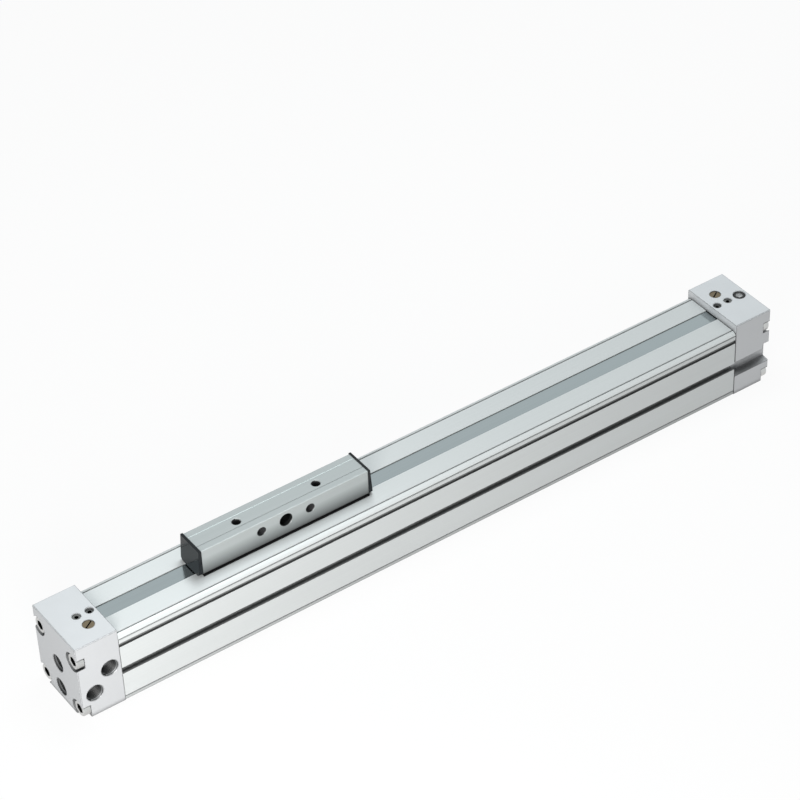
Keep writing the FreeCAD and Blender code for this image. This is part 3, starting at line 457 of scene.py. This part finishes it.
def grain_group():
    """Fine even grain with a faint cloudiness, as on blasted or moulded surfaces."""
    tree, given, out = shader_group(
        "Grain and cloud",
        [
            ("Vector", "NodeSocketVector", None),
            ("Grain", "NodeSocketFloat", 8000.0),
            ("Cloud", "NodeSocketFloat", 60.0),
        ],
        [("Grain", "NodeSocketFloat"), ("Cloud", "NodeSocketFloat")],
    )
    nodes, link = tree.nodes, tree.links.new
    for label, detail in (("Grain", 1.0), ("Cloud", 4.0)):
        noise = nodes.new("ShaderNodeTexNoise")
        noise.inputs["Detail"].default_value = detail
        link(given.outputs["Vector"], noise.inputs["Vector"])
        link(given.outputs[label], noise.inputs["Scale"])
        link(noise.outputs["Fac"], out.inputs[label])


def edge_wear_and_shade_group():
    """A mask that is 1 on sharp outer edges. Lightened there it stands for wear from handling;
    darkened there it is painted shade.
    """
    tree, given, out = shader_group(
        "Worn edges",
        [("Radius", "NodeSocketFloat", 0.3 * MM)],
        [("Edge", "NodeSocketFloat")],
    )
    nodes, link = tree.nodes, tree.links.new
    soft = nodes.new("ShaderNodeBevel")
    soft.samples = 4
    link(given.outputs["Radius"], soft.inputs["Radius"])
    true = nodes.new("ShaderNodeNewGeometry")
    likeness = nodes.new("ShaderNodeVectorMath")
    likeness.operation = "DOT_PRODUCT"
    link(soft.outputs["Normal"], likeness.inputs[0])
    link(true.outputs["Normal"], likeness.inputs[1])
    mask = nodes.new("ShaderNodeMapRange")
    flat, sharp = 0.995, 0.90
    mask.inputs["From Min"].default_value = flat
    mask.inputs["From Max"].default_value = sharp
    link(likeness.outputs["Value"], mask.inputs["Value"])
    link(mask.outputs["Result"], out.inputs["Edge"])


def painted_cavity_shade_group(name, only_own):
    """A mask for painted shade, from ambient occlusion: it falls to 0 in holes and grooves, where
    the colour is darkened as shade would darken it.
    """
    tree, given, out = shader_group(
        name,
        [
            ("Reach", "NodeSocketFloat", 8 * MM),
            ("Closed", "NodeSocketFloat", 0.3),
            ("Open", "NodeSocketFloat", 0.9),
        ],
        [("Light", "NodeSocketFloat")],
    )
    nodes, link = tree.nodes, tree.links.new
    hidden = nodes.new("ShaderNodeAmbientOcclusion")
    hidden.samples = 8
    hidden.only_local = only_own
    link(given.outputs["Reach"], hidden.inputs["Distance"])
    mask = nodes.new("ShaderNodeMapRange")
    mask.interpolation_type = "SMOOTHSTEP"
    link(given.outputs["Closed"], mask.inputs["From Min"])
    link(given.outputs["Open"], mask.inputs["From Max"])
    link(hidden.outputs["AO"], mask.inputs["Value"])
    link(mask.outputs["Result"], out.inputs["Light"])


def group_node(material, name, values):
    """One of the shared groups, placed in a material and fed with Object coordinates."""
    nodes, link = material.node_tree.nodes, material.node_tree.links.new
    node = nodes.new("ShaderNodeGroup")
    node.node_tree = bpy.data.node_groups[name]
    if "Vector" in node.inputs:
        coordinates = nodes.new("ShaderNodeTexCoord")
        link(coordinates.outputs["Object"], node.inputs["Vector"])
    for label, value in values.items():
        node.inputs[label].default_value = value
    return node


# Steps of a material

class Cavity(NamedTuple):
    """How far the painted shade looks for neighbouring walls, and the tone it paints between them.
    """

    reach: float
    closed: float
    opened: float
    tone: float
    group: str = "Cavity shade"


# Painted shade for narrow grooves and for deeper pockets.
GROOVE_SHADE = Cavity(reach=6 * MM, closed=0.57, opened=0.97, tone=0.03)
POCKET_SHADE = Cavity(reach=12 * MM, closed=0.35, opened=0.95, tone=0.07)
SOFT_EDGE = (0.02 * MM, 0.12 * MM)
SHARP_EDGE = (0.01 * MM, 0.03 * MM)


def shader_of(material):
    """The material's one Principled shader."""
    return material.node_tree.nodes["Principled BSDF"]


def plain_finish(name, colour, roughness, metallic):
    """A material with one Principled shader and even values."""
    material = bpy.data.materials.new(name)
    material.use_nodes = True
    shader = shader_of(material)
    shader.inputs["Base Color"].default_value = (*colour, 1.0)
    shader.inputs["Roughness"].default_value = roughness
    shader.inputs["Metallic"].default_value = metallic
    return material


def feed(material, label, source):
    """Links a value to an input of the shader."""
    material.node_tree.links.new(source, shader_of(material).inputs[label])


def colour_so_far(material):
    """The output that feeds the shader's base colour."""
    return shader_of(material).inputs["Base Color"].links[0].from_socket


def own_tone(material, share):
    """The material's even colour, made lighter or darker."""
    colour = shader_of(material).inputs["Base Color"].default_value[:3]
    return tuple(min(1.0, value * share) for value in colour)


def worked(owner, operation, *values):
    """The result of a Math node on sockets and numbers, in a material or a world."""
    node = owner.node_tree.nodes.new("ShaderNodeMath")
    node.operation = operation
    for socket, value in zip(node.inputs, values):
        if isinstance(value, (int, float)):
            socket.default_value = value
        else:
            owner.node_tree.links.new(value, socket)
    return node.outputs[0]


def ranged(owner, source, low, high, start=0.0, stop=1.0):
    """The source, from start to stop, spread between two values."""
    node = owner.node_tree.nodes.new("ShaderNodeMapRange")
    for label, value in (
        ("From Min", start), ("From Max", stop), ("To Min", low), ("To Max", high),
    ):
        node.inputs[label].default_value = value
    owner.node_tree.links.new(source, node.inputs["Value"])
    return node.outputs["Result"]


def mixed(material, factor, *ends):
    """A mix of two colours, each a socket or three numbers."""
    node = material.node_tree.nodes.new("ShaderNodeMix")
    node.data_type = "RGBA"
    sockets = [socket for socket in node.inputs if socket.type == "RGBA"]
    for socket, end in zip(sockets, ends):
        if isinstance(end, bpy.types.NodeSocket):
            material.node_tree.links.new(end, socket)
        else:
            socket.default_value = (*end, 1.0)
    material.node_tree.links.new(factor, node.inputs["Factor"])
    return next(socket for socket in node.outputs if socket.type == "RGBA")


def uneven(material, source, tones, spread):
    """Lets the base colour and the roughness follow a pattern from 0 to 1."""
    roughness = shader_of(material).inputs["Roughness"].default_value
    dark, light = (own_tone(material, tone) for tone in tones)
    low, high = (roughness + step for step in spread)
    feed(material, "Base Color", mixed(material, source, dark, light))
    feed(material, "Roughness", ranged(material, source, low, high))


def bumped(material, source, height, strength):
    """Feeds the shader's normal from a height."""
    node = material.node_tree.nodes.new("ShaderNodeBump")
    node.inputs["Distance"].default_value = height
    node.inputs["Strength"].default_value = strength
    material.node_tree.links.new(source, node.inputs["Height"])
    feed(material, "Normal", node.outputs["Normal"])


def streaked(material, share):
    """Widens reflections across lines that run along X."""
    nodes, link = material.node_tree.nodes, material.node_tree.links.new
    true = nodes.new("ShaderNodeNewGeometry")
    across = nodes.new("ShaderNodeVectorMath")
    across.operation = "CROSS_PRODUCT"
    across.inputs[1].default_value = (1, 0, 0)
    link(true.outputs["Normal"], across.inputs[0])
    feed(material, "Tangent", across.outputs["Vector"])
    shader_of(material).inputs["Anisotropic"].default_value = share


def paint_cavity_shade(material, cavity):
    """Paints shade into the base colour inside holes and grooves."""
    values = {"Reach": cavity.reach, "Closed": cavity.closed, "Open": cavity.opened}
    light = group_node(material, cavity.group, values).outputs["Light"]
    inside = own_tone(material, cavity.tone)
    feed(material, "Base Color", mixed(material, light, inside, colour_so_far(material)))


def coordinate(material, kind, axis):
    """One coordinate of the point on the piece, or of its normal."""
    nodes = material.node_tree.nodes
    if kind == "Object":
        source = nodes.new("ShaderNodeTexCoord").outputs["Object"]
    else:
        source = nodes.new("ShaderNodeNewGeometry").outputs["Normal"]
    parts = nodes.new("ShaderNodeSeparateXYZ")
    material.node_tree.links.new(source, parts.inputs["Vector"])
    return parts.outputs[axis]


def toned(material, source, start, stop, low, high):
    """Scales the base colour by a share that follows a value."""
    link = material.node_tree.links.new
    tone = material.node_tree.nodes.new("ShaderNodeVectorMath")
    tone.operation = "SCALE"
    link(colour_so_far(material), tone.inputs[0])
    link(ranged(material, source, low, high, start, stop), tone.inputs["Scale"])
    feed(material, "Base Color", tone.outputs["Vector"])


def painted_foot_shade(material, foot, reach, share):
    """Painted shade: darkens the colour towards the foot."""
    toned(material, coordinate(material, "Object", "Z"), foot, foot + reach, share, 1.0)


def painted_top_light(material, sides, top):
    """Painted light and shade: a lighter colour on faces that look up than on the sides, as the
    lamps would give it.
    """
    up = coordinate(material, "Normal", "Z")
    toned(material, up, start=0.5, stop=1.0, low=sides, high=top)


def paint_shade_inside(material, half_width, bottom, top, share):
    """Paints shade on what lies inside a long box, such as the walls of holes and slots."""
    out = worked(material, "ABSOLUTE", coordinate(material, "Object", "Y"))
    up = coordinate(material, "Object", "Z")
    beside = worked(material, "SUBTRACT", half_width, out)
    above = worked(material, "SUBTRACT", up, bottom)
    below = worked(material, "SUBTRACT", top, up)
    depth = worked(material, "MINIMUM", beside, worked(material, "MINIMUM", above, below))
    toned(material, depth, *SOFT_EDGE, 1.0, share)


def painted_groove_highlight(material, y, width, top, share):
    """Painted highlight: brightens a fine groove along X."""
    across = worked(material, "SUBTRACT", coordinate(material, "Object", "Y"), y)
    beside = worked(material, "SUBTRACT", width / 2, worked(material, "ABSOLUTE", across))
    below = worked(material, "SUBTRACT", top, coordinate(material, "Object", "Z"))
    depth = worked(material, "MINIMUM", beside, below)
    toned(material, depth, *SHARP_EDGE, 1.0, share)


# Kinds of material

def drawn_metal(
    name, colour, roughness, line_length, line_width=0.3 * MM, depth=0.01 * MM, metallic=1.0,
    streak=0.0, cavity=GROOVE_SHADE,
):
    """Metal with lines along X, and painted shade in its grooves unless no cavity is given."""
    material = plain_finish(name, colour, roughness, metallic)
    values = {"Length": line_length, "Width": line_width}
    lines = group_node(material, "Drawn lines", values).outputs["Lines"]
    uneven(material, lines, tones=(0.93, 1.06), spread=(-0.05, 0.07))
    bumped(material, lines, depth, strength=0.6)
    if streak:
        streaked(material, streak)
    if cavity:
        paint_cavity_shade(material, cavity)
    return material


def blasted_metal(
    name, colour, roughness, grain, depth=0.005 * MM, metallic=1.0, edge_wear_and_shade_tone=1.1,
    edge_width=0.3 * MM, cavity=POCKET_SHADE,
):
    """Metal with a fine even grain, another tone on its edges, and painted shade in its holes.
    Lighter edges stand for wear; darker edges are painted shade.
    """
    material = plain_finish(name, colour, roughness, metallic)
    surface = group_node(material, "Grain and cloud", {"Grain": 1.0 / grain})
    uneven(material, surface.outputs["Cloud"], tones=(0.96, 1.04), spread=(-0.04, 0.05))
    bumped(material, surface.outputs["Grain"], depth, strength=0.5)
    edges = group_node(material, "Worn edges", {"Radius": edge_width}).outputs["Edge"]
    edge_wear_and_shade = own_tone(material, edge_wear_and_shade_tone)
    feed(material, "Base Color", mixed(material, edges, colour_so_far(material), edge_wear_and_shade))
    paint_cavity_shade(material, cavity)
    return material


def moulded(name, colour, roughness, grain=0.2 * MM, depth=0.02 * MM, specular=0.5):
    """Plastic or rubber with a faint grain."""
    material = plain_finish(name, colour, roughness, metallic=0.0)
    shader_of(material).inputs["Specular IOR Level"].default_value = specular
    surface = group_node(material, "Grain and cloud", {"Grain": 1.0 / grain})
    uneven(material, surface.outputs["Cloud"], tones=(0.85, 1.15), spread=(-0.05, 0.08))
    bumped(material, surface.outputs["Grain"], depth, strength=0.4)
    return material


def finish_nodes(material, *names):
    """Gives packed nodes their material."""
    for name in names:
        piece = frame["nodes"][name]
        if not piece.material_slots:
            piece.data.materials.append(material)
        for slot in piece.material_slots:
            slot.material = material


def finish_pairs(material, *names):
    """Gives the near and the far piece of each pair the same material."""
    for name in names:
        finish_nodes(material, name + "_near", name + "_far")


# Places from the packed record

def mount_place(name):
    """A mount's point and axis."""
    return Vector(mounts[name]["pos_m"]), Vector(mounts[name]["axis"])


def port_places(end):
    """The mouths of one cap's ports, on its faces."""
    low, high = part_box("end_cap_" + end)
    places = []
    for name, mount in mounts.items():
        if mount["kind"] == "threaded_hole" and name.startswith(end):
            point, axis = mount_place(name)
            for i in range(3):
                if axis[i]:
                    point[i] = high[i] if axis[i] > 0 else low[i]
            places.append((point, axis))
    return places


def pattern_places(name):
    """The holes of a bolt pattern whose axis is Z or Y."""
    centre, axis = mount_place(name)
    dims = mounts[name]["dims"]
    half_x = dims["spacing_x_mm"] * MM / 2
    half_y = dims.get("spacing_y_mm", 0.0) * MM / 2
    sides = (-1, 1) if half_y else (0,)
    return [
        (centre + Vector((i * half_x, j * half_y, 0)), axis) for i in (-1, 1) for j in sides
    ]


def cap_screw_places(node, radius):
    """The middles of the four screw heads at one end."""
    low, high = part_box(node)
    outward = -1 if low.x < 0 else 1
    x = low.x if outward < 0 else high.x
    return [
        (Vector((x, y, z)), Vector((outward, 0, 0)))
        for y in (low.y + radius, high.y - radius)
        for z in (low.z + radius, high.z - radius)
    ]


# Operators

class CYLINDER_OT_groups(Operator):
    """Builds the node groups that the other steps share"""

    bl_idname = "cylinder.groups"
    bl_label = "Prepare Node Groups"

    def execute(self, context):
        screw_tree()
        thread_tree()
        strip_tree()
        drawn_lines_group()
        grain_group()
        edge_wear_and_shade_group()
        painted_cavity_shade_group("Cavity shade", True)
        painted_cavity_shade_group("Shade of neighbours", False)
        return {"FINISHED"}


class CYLINDER_OT_barrel(Operator):
    """Finishes the profile, the seals and the magnetic strips"""

    bl_idname = "cylinder.barrel"
    bl_label = "Finish Barrel"

    def execute(self, context):
        wanted = context.scene.cylinder_barrel
        # Painted shade in the profile's grooves and slots, from the cavity mask.
        profile = drawn_metal(
            "Anodised profile", wanted.colour, wanted.roughness, wanted.line_length,
            wanted.line_width, depth=0.008 * MM, metallic=0.2, streak=0.8,
            cavity=GROOVE_SHADE._replace(closed=0.45, opened=0.95, tone=0.2),
        )
        low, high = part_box("profile_tube")
        # Painted shade towards the foot and on the walls of the slots.
        painted_foot_shade(profile, low.z, wanted.foot, wanted.foot_shade_tone)
        slots_low, slots_high = low.z + wanted.slots_low, high.z - wanted.slots_high
        paint_shade_inside(profile, high.y, slots_low, slots_high, wanted.slot_shade_tone)
        rubber = moulded("Seal rubber", (0.025, 0.025, 0.026), roughness=0.6)
        tape = moulded("Magnetic tape", (0.05, 0.05, 0.052), roughness=0.55)
        finish_nodes(profile, "profile_tube")
        finish_nodes(rubber, "duct_seals")
        finish_nodes(tape, "magnet_strip_front", "magnet_strip_back")
        finish_pairs(
            rubber, "cap_gasket", "bore_ring", "end_bumper", "needle_ring", "dust_wiper",
            "piston_seal", "cushion_seal",
        )
        return {"FINISHED"}


class CYLINDER_OT_caps(Operator):
    """Finishes the end caps with their small parts, and the yoke"""

    bl_idname = "cylinder.caps"
    bl_label = "Finish Caps"

    def execute(self, context):
        wanted = context.scene.cylinder_caps
        # Painted shade in the caps' ports and pockets, and where the caps stand close to the
        # barrel's top.
        neighbour_shade = POCKET_SHADE._replace(group="Shade of neighbours")
        cap = blasted_metal(
            "Anodised cap", wanted.colour, wanted.roughness, wanted.grain, depth=0.01 * MM,
            metallic=0.3, edge_wear_and_shade_tone=wanted.edge_wear_and_shade_tone, edge_width=wanted.edge_width,
            cavity=POCKET_SHADE._replace(closed=0.45, tone=0.05),
        )
        paint_cavity_shade(cap, neighbour_shade._replace(reach=5 * MM, closed=0.4, opened=0.9, tone=0.3))
        # Painted light on the caps' tops and painted shade on their sides.
        painted_top_light(cap, wanted.side_shade_tone, wanted.top_light_tone)
        # Painted shade in the screws' sockets and in the needle's slot, from the default cavity
        # masks.
        zinc = blasted_metal("Zinc plate", wanted.screw_colour, roughness=0.3, grain=0.4 * MM)
        steel = blasted_metal(
            "Bare steel", (0.19, 0.19, 0.185), roughness=0.36, grain=0.3 * MM, depth=0.006 * MM
        )
        brass = drawn_metal(
            "Turned brass", (0.175, 0.14, 0.095), roughness=0.4, line_length=3 * MM
        )
        # Lighter in the socket: partly the bare steel of the socket, partly a painted highlight.
        blackened = blasted_metal(
            "Blackened plug", (0.05, 0.05, 0.05), roughness=0.25, grain=0.6 * MM,
            depth=0.001 * MM, cavity=Cavity(reach=4 * MM, closed=0.2, opened=0.75, tone=16),
        )
        # Painted shade near neighbouring walls, which keeps the yoke dark inside the table's pivot
        # hole.
        machined = drawn_metal(
            "Machined aluminium", (0.50, 0.51, 0.52), roughness=0.34, line_length=4 * MM,
            depth=0.008 * MM, cavity=neighbour_shade._replace(closed=0.45, tone=0.06),
        )
        # Painted shade: the threads in the ports and foot holes are darker than the caps, and
        # darker still near neighbouring walls.
        blasted_metal(
            "Shaded cut thread", (0.20, 0.205, 0.21), roughness=0.5, grain=0.3 * MM, metallic=0.4,
            cavity=neighbour_shade._replace(reach=10 * MM, closed=0.4, tone=0.05),
        )
        finish_pairs(cap, "end_cap")
        finish_pairs(steel, "clamp_screws")
        finish_pairs(zinc, "band_clamp", "belt_clamp")
        finish_pairs(brass, "cushion_needle")
        finish_pairs(machined, "cushion_boss")
        finish_nodes(blackened, "service_plug")
        finish_nodes(machined, "piston_yoke")
        finish_nodes(zinc, "stub_pins")
        finish_nodes(steel, "clamp_pins")
        return {"FINISHED"}


class CYLINDER_OT_cap_screws(Operator):
    """Makes the cap screws, with knurled heads and hexagon sockets"""

    bl_idname = "cylinder.cap_screws"
    bl_label = "Make Cap Screws"

    def rings(self, wanted, whole):
        """A screw's heights and radii, from the socket's floor round the head to the tip."""
        radius, shank = wanted.head_diameter / 2, wanted.shank_diameter / 2
        edge, head = wanted.head_edge, wanted.head_height
        mouth = wanted.socket_width / math.sqrt(3) + edge / 2

        def knurled(turn):
            wave = 0.5 - 0.5 * math.cos(turn * wanted.knurl_teeth)
            return radius - wanted.knurl_depth * wave

        def socket(turn):
            return hex_radius(wanted.socket_width, turn)

        return [
            (-wanted.socket_depth, socket),
            (-edge / 2, socket),
            (0.0, mouth),
            (0.0, radius - edge),
            (-edge, knurled),
            (-head + edge / 2, knurled),
            (-head, radius - edge),
            (-head, shank),
            (-whole + edge, shank),
            (-whole, shank - edge),
        ]

    def execute(self, context):
        wanted = context.scene.cylinder_caps
        low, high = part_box("cap_bolts_near")
        rings = self.rings(wanted, high.x - low.x)
        screw = mesh_object("cap_screw", turned_mesh("cap_screw", rings, 4 * wanted.knurl_teeth))
        values = {"Screw": screw, "Material": bpy.data.materials["Zinc plate"]}
        for end in ("near", "far"):
            node = "cap_bolts_" + end
            places = cap_screw_places(node, wanted.head_diameter / 2)
            piece = grown("cap_screws_" + end, places, "Screws at places", values)
            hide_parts(node)
            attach(piece, "barrel")
        bpy.data.objects.remove(screw)
        return {"FINISHED"}


class CYLINDER_OT_threads(Operator):
    """Makes the threads of the ports and of the mounting holes"""

    bl_idname = "cylinder.threads"
    bl_label = "Make Threads"

    def thread(self, name, places, size, length, body, slot, material):
        """One piece with the threads of like holes, sized by their radius, depth and pitch."""
        radius, ridge, pitch = size
        inset = 2 * ridge
        run = length - 2 * inset
        starts = [(place - axis * (run + inset), axis) for place, axis in places]
        values = {
            "Radius": radius, "Ridge": ridge, "Turns": run / pitch, "Length": run,
            "Material": material,
        }
        piece = grown(name, starts, "Threads at places", values)
        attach(piece, body)

    def execute(self, context):
        caps = context.scene.cylinder_caps
        table = context.scene.cylinder_carriage
        cut = bpy.data.materials["Shaded cut thread"]
        # Painted shade: the threads in the table's holes are near black, to stand for the shade in
        # them.
        shaded_thread = moulded("Shaded thread", (0.03, 0.03, 0.032), roughness=0.6, specular=0.15)
        port = mounts["near_side_high"]["dims"]
        size = (port["r_mm"] * MM, caps.port_thread, caps.port_pitch)
        for end in ("near", "far"):
            self.thread(
                "port_threads_" + end, port_places(end), size, port["length_mm"] * MM,
                "barrel", "cap_aluminium", cut,
            )
        low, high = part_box("slide_table")
        kinds = (
            ("foot", caps.foot_thread, "barrel", "cap_aluminium", cut),
            ("table_top", table.top_thread, "carriage", "table_aluminium", shaded_thread),
            ("table_side", high.y - low.y, "carriage", "table_aluminium", shaded_thread),
        )
        for name, length, body, slot, material in kinds:
            radius = mounts[name + "_holes"]["dims"]["hole_r_mm"] * MM
            size = (radius, table.thread_depth, table.thread_pitch)
            places = pattern_places(name + "_holes")
            self.thread(name + "_threads", places, size, length, body, slot, material)
        return {"FINISHED"}


class CYLINDER_OT_carriage(Operator):
    """Finishes the slide table, its end plates and what it carries"""

    bl_idname = "cylinder.carriage"
    bl_label = "Finish Carriage"

    def execute(self, context):
        wanted = context.scene.cylinder_carriage
        table = drawn_metal(
            "Anodised table", wanted.colour, wanted.roughness, line_length=80 * MM,
            metallic=0.3, cavity=None,
        )
        low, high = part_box("slide_table")
        inner, below_edge = high.y - wanted.edge, high.z - wanted.edge
        # Painted shade towards the table's foot.
        painted_foot_shade(table, low.z, wanted.foot_shade_share * (high.z - low.z), wanted.foot_shade_tone)
        # Painted shade on the walls of the holes in the sides and the top.
        paint_shade_inside(table, high.y, low.z, below_edge, wanted.hole_shade_tone)
        paint_shade_inside(table, inner, low.z, high.z - wanted.line_depth, wanted.hole_shade_tone)
        # Painted highlight along the back groove.
        painted_groove_highlight(
            table, wanted.groove_offset, wanted.groove_width, high.z, wanted.groove_highlight_tone
        )
        plate = moulded(
            "Glossy black", wanted.plate_colour, roughness=0.14, grain=0.6 * MM,
            depth=0.003 * MM, specular=0.24,
        )
        satin = moulded("Satin black", (0.004, 0.004, 0.0045), roughness=0.5, specular=0.1)
        acetal = moulded("Dark acetal", (0.05, 0.05, 0.055), roughness=0.35)
        bearing = moulded("Bearing plastic", (0.38, 0.26, 0.13), roughness=0.5)
        magnet = moulded("Sintered magnet", (0.06, 0.06, 0.065), roughness=0.4)
        finish_nodes(table, "slide_table")
        finish_nodes(satin, "skirt_front", "skirt_back")
        finish_pairs(plate, "end_plate")
        finish_pairs(satin, "band_guide", "belt_guide")
        finish_pairs(acetal, "piston_end")
        finish_pairs(bearing, "wear_ring")
        finish_pairs(magnet, "switch_magnet")
        return {"FINISHED"}


class CYLINDER_OT_bands(Operator):
    """Makes the stretches of the outer band and the inner belt, which reach to the carriage"""

    bl_idname = "cylinder.bands"
    bl_label = "Make Bands"

    def execute(self, context):
        wanted = context.scene.cylinder_bands
        steel = drawn_metal(
            "Polished band steel", wanted.colour, wanted.roughness, line_length=250 * MM,
            depth=0.001 * MM, cavity=None,
        )
        belt = moulded("Belt plastic", wanted.belt_colour, roughness=0.45)
        finish_nodes(steel, "outer_band_arch")
        finish_nodes(belt, "inner_belt_arch")
        kinds = (("outer_band", steel, "band_steel"), ("inner_belt", belt, "belt_plastic"))
        for name, material, slot in kinds:
            for end in ("near", "far"):
                node = name + "_" + end
                low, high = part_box(node)
                middle = (low + high) / 2
                fixed_x, moving_x = (low.x, high.x) if end == "near" else (high.x, low.x)
                fixed = Vector((fixed_x, middle.y, middle.z))
                moving = Vector((moving_x, middle.y, middle.z))
                width, thickness = high.y - low.y, high.z - low.z
                piece = strip(node + "_strip", fixed, moving, width, thickness, material)
                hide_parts(node)
                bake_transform(piece)
        return {"FINISHED"}


class CYLINDER_OT_lips_and_shadow(Operator):
    """Makes the soft lips that the skirts carry over the barrel's top; they are widened so that
    their black also stands for the shadow under the table's foot
    """

    bl_idname = "cylinder.lips"
    bl_label = "Make Skirt Lips"

    def execute(self, context):
        wanted = context.scene.cylinder_carriage
        reach, height = wanted.lip_reach, wanted.lip_height
        rubber = bpy.data.materials["Satin black"]
        for end, outward in (("front", -1), ("back", 1)):
            low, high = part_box("skirt_" + end)
            side = low.y if outward < 0 else high.y
            y = side + outward * (reach / 2 - wanted.lip_root)
            z = low.z + height / 2
            start, stop = Vector((low.x, y, z)), Vector((high.x, y, z))
            piece = strip("skirt_lip_" + end, start, stop, reach, height, rubber)
            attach(piece, "carriage")
        return {"FINISHED"}


class CYLINDER_OT_stage(Operator):
    """Sets the camera, the lamps, the floor and the white surroundings"""

    bl_idname = "cylinder.stage"
    bl_label = "Set Stage"

    def seen(self, owner):
        """1 for what the camera, a reflection or glass sees, and 0 for light."""
        path = owner.node_tree.nodes.new("ShaderNodeLightPath").outputs
        opaque = worked(owner, "MAXIMUM", path["Is Camera Ray"], path["Is Glossy Ray"])
        return worked(owner, "MAXIMUM", opaque, path["Is Transmission Ray"])

    def camera(self, wanted):
        """A camera at the photograph's viewing angle."""
        flat = math.cos(wanted.elevation)
        back = Vector((
            math.sin(wanted.azimuth) * flat,
            -math.cos(wanted.azimuth) * flat,
            math.sin(wanted.elevation),
        ))
        right = (-back).cross(Vector((0, 0, 1))).normalized()
        up = back.cross(right)
        turn = Matrix((right, up, back)).transposed() @ Matrix.Rotation(wanted.roll, 3, "Z")
        data = bpy.data.cameras.new("camera")
        data.lens = wanted.focal_length
        camera = bpy.data.objects.new("camera", data)
        camera.matrix_world = Matrix.Translation(wanted.place) @ turn.to_4x4()
        bpy.context.scene.collection.objects.link(camera)
        bpy.context.scene.camera = camera

    def lamp(self, name, place, target, size, power, tint):
        """A square lamp that faces a point."""
        data = bpy.data.lights.new(name, "AREA")
        data.shape = "SQUARE"
        data.size = size
        data.energy = power
        data.color = tint
        lamp = bpy.data.objects.new(name, data)
        lamp.location = place
        facing = Vector(target) - Vector(place)
        lamp.rotation_euler = facing.to_track_quat("-Z", "Y").to_euler()
        bpy.context.scene.collection.objects.link(lamp)

    def floor(self, wanted):
        """White paper under the object, which keeps its shadow."""
        low, high = cad_box
        reach = wanted.paper_reach * (high.x - low.x)
        mesh = bpy.data.meshes.new("floor")
        corners = [(-reach, -reach), (reach, -reach), (reach, reach), (-reach, reach)]
        mesh.from_pydata([(x, y, low.z) for x, y in corners], [], [(0, 1, 2, 3)])
        floor = mesh_object("floor", mesh)
        paper = plain_finish("White paper", [wanted.paper] * 3, roughness=0.9, metallic=0.0)
        nodes, link = paper.node_tree.nodes, paper.node_tree.links.new
        seen = self.seen(paper)
        feed(paper, "Base Color", ranged(paper, seen, wanted.bounce, wanted.paper))
        white = nodes.new("ShaderNodeEmission")
        mix = nodes.new("ShaderNodeMixShader")
        link(worked(paper, "MULTIPLY", seen, wanted.glow), mix.inputs["Fac"])
        link(shader_of(paper).outputs["BSDF"], mix.inputs[1])
        link(white.outputs["Emission"], mix.inputs[2])
        link(mix.outputs[0], nodes["Material Output"].inputs["Surface"])
        mesh.materials.append(paper)

    def world(self, wanted):
        """An even white sky, at full strength where it is seen."""
        world = bpy.data.worlds.new("studio")
        world.use_nodes = True
        sky = world.node_tree.nodes["Background"]
        sky.inputs["Color"].default_value = (*wanted.sky_colour, 1.0)
        strength = ranged(world, self.seen(world), wanted.sky, 1.0)
        world.node_tree.links.new(strength, sky.inputs["Strength"])
        bpy.context.scene.world = world

    def execute(self, context):
        wanted = context.scene.cylinder_stage
        context.scene.view_settings.view_transform = "Standard"
        self.camera(wanted)
        self.lamp(
            "key", place=(-0.45, -0.48, 0.21), target=(-0.2, 0, 0.02), size=0.25,
            power=wanted.key, tint=wanted.key_colour,
        )
        self.lamp(
            "top", place=(0.10, 0.12, 0.75), target=(0.10, 0.0, 0.04), size=0.3,
            power=wanted.top, tint=wanted.top_colour,
        )
        self.floor(wanted)
        self.world(wanted)
        return {"FINISHED"}


class CYLINDER_PT_panel(Panel):
    """Lists the steps and their settings"""

    bl_label = "Rodless Cylinder"
    bl_idname = "CYLINDER_PT_panel"
    bl_space_type = "VIEW_3D"
    bl_region_type = "UI"
    bl_category = "Cylinder"

    def draw(self, context):
        layout = self.layout
        for step in STEPS:
            layout.operator(step)
        for name, kind in SETTINGS.items():
            box = layout.box()
            box.label(text=kind.__doc__)
            for field in kind.__annotations__:
                box.prop(getattr(context.scene, name), field)


SETTINGS = {
    "cylinder_barrel": BarrelSettings,
    "cylinder_bands": BandSettings,
    "cylinder_caps": CapSettings,
    "cylinder_carriage": CarriageSettings,
    "cylinder_stage": StageSettings,
}
OPERATORS = (
    CYLINDER_OT_groups,
    CYLINDER_OT_stage,
    CYLINDER_OT_barrel,
    CYLINDER_OT_caps,
    CYLINDER_OT_carriage,
    CYLINDER_OT_bands,
    CYLINDER_OT_lips_and_shadow,
    CYLINDER_OT_cap_screws,
    CYLINDER_OT_threads,
)
STEPS = [kind.bl_idname for kind in OPERATORS]
CLASSES = (*SETTINGS.values(), *OPERATORS, CYLINDER_PT_panel)


def register():
    for kind in CLASSES:
        bpy.utils.register_class(kind)
    for name, kind in SETTINGS.items():
        setattr(bpy.types.Scene, name, PointerProperty(type=kind))


def unregister():
    for name in SETTINGS:
        delattr(bpy.types.Scene, name)
    for kind in reversed(CLASSES):
        bpy.utils.unregister_class(kind)


def main():
    register()
    for step in STEPS:
        family, name = step.split(".")
        getattr(getattr(bpy.ops, family), name)()


if __name__ == "__main__":
    main()
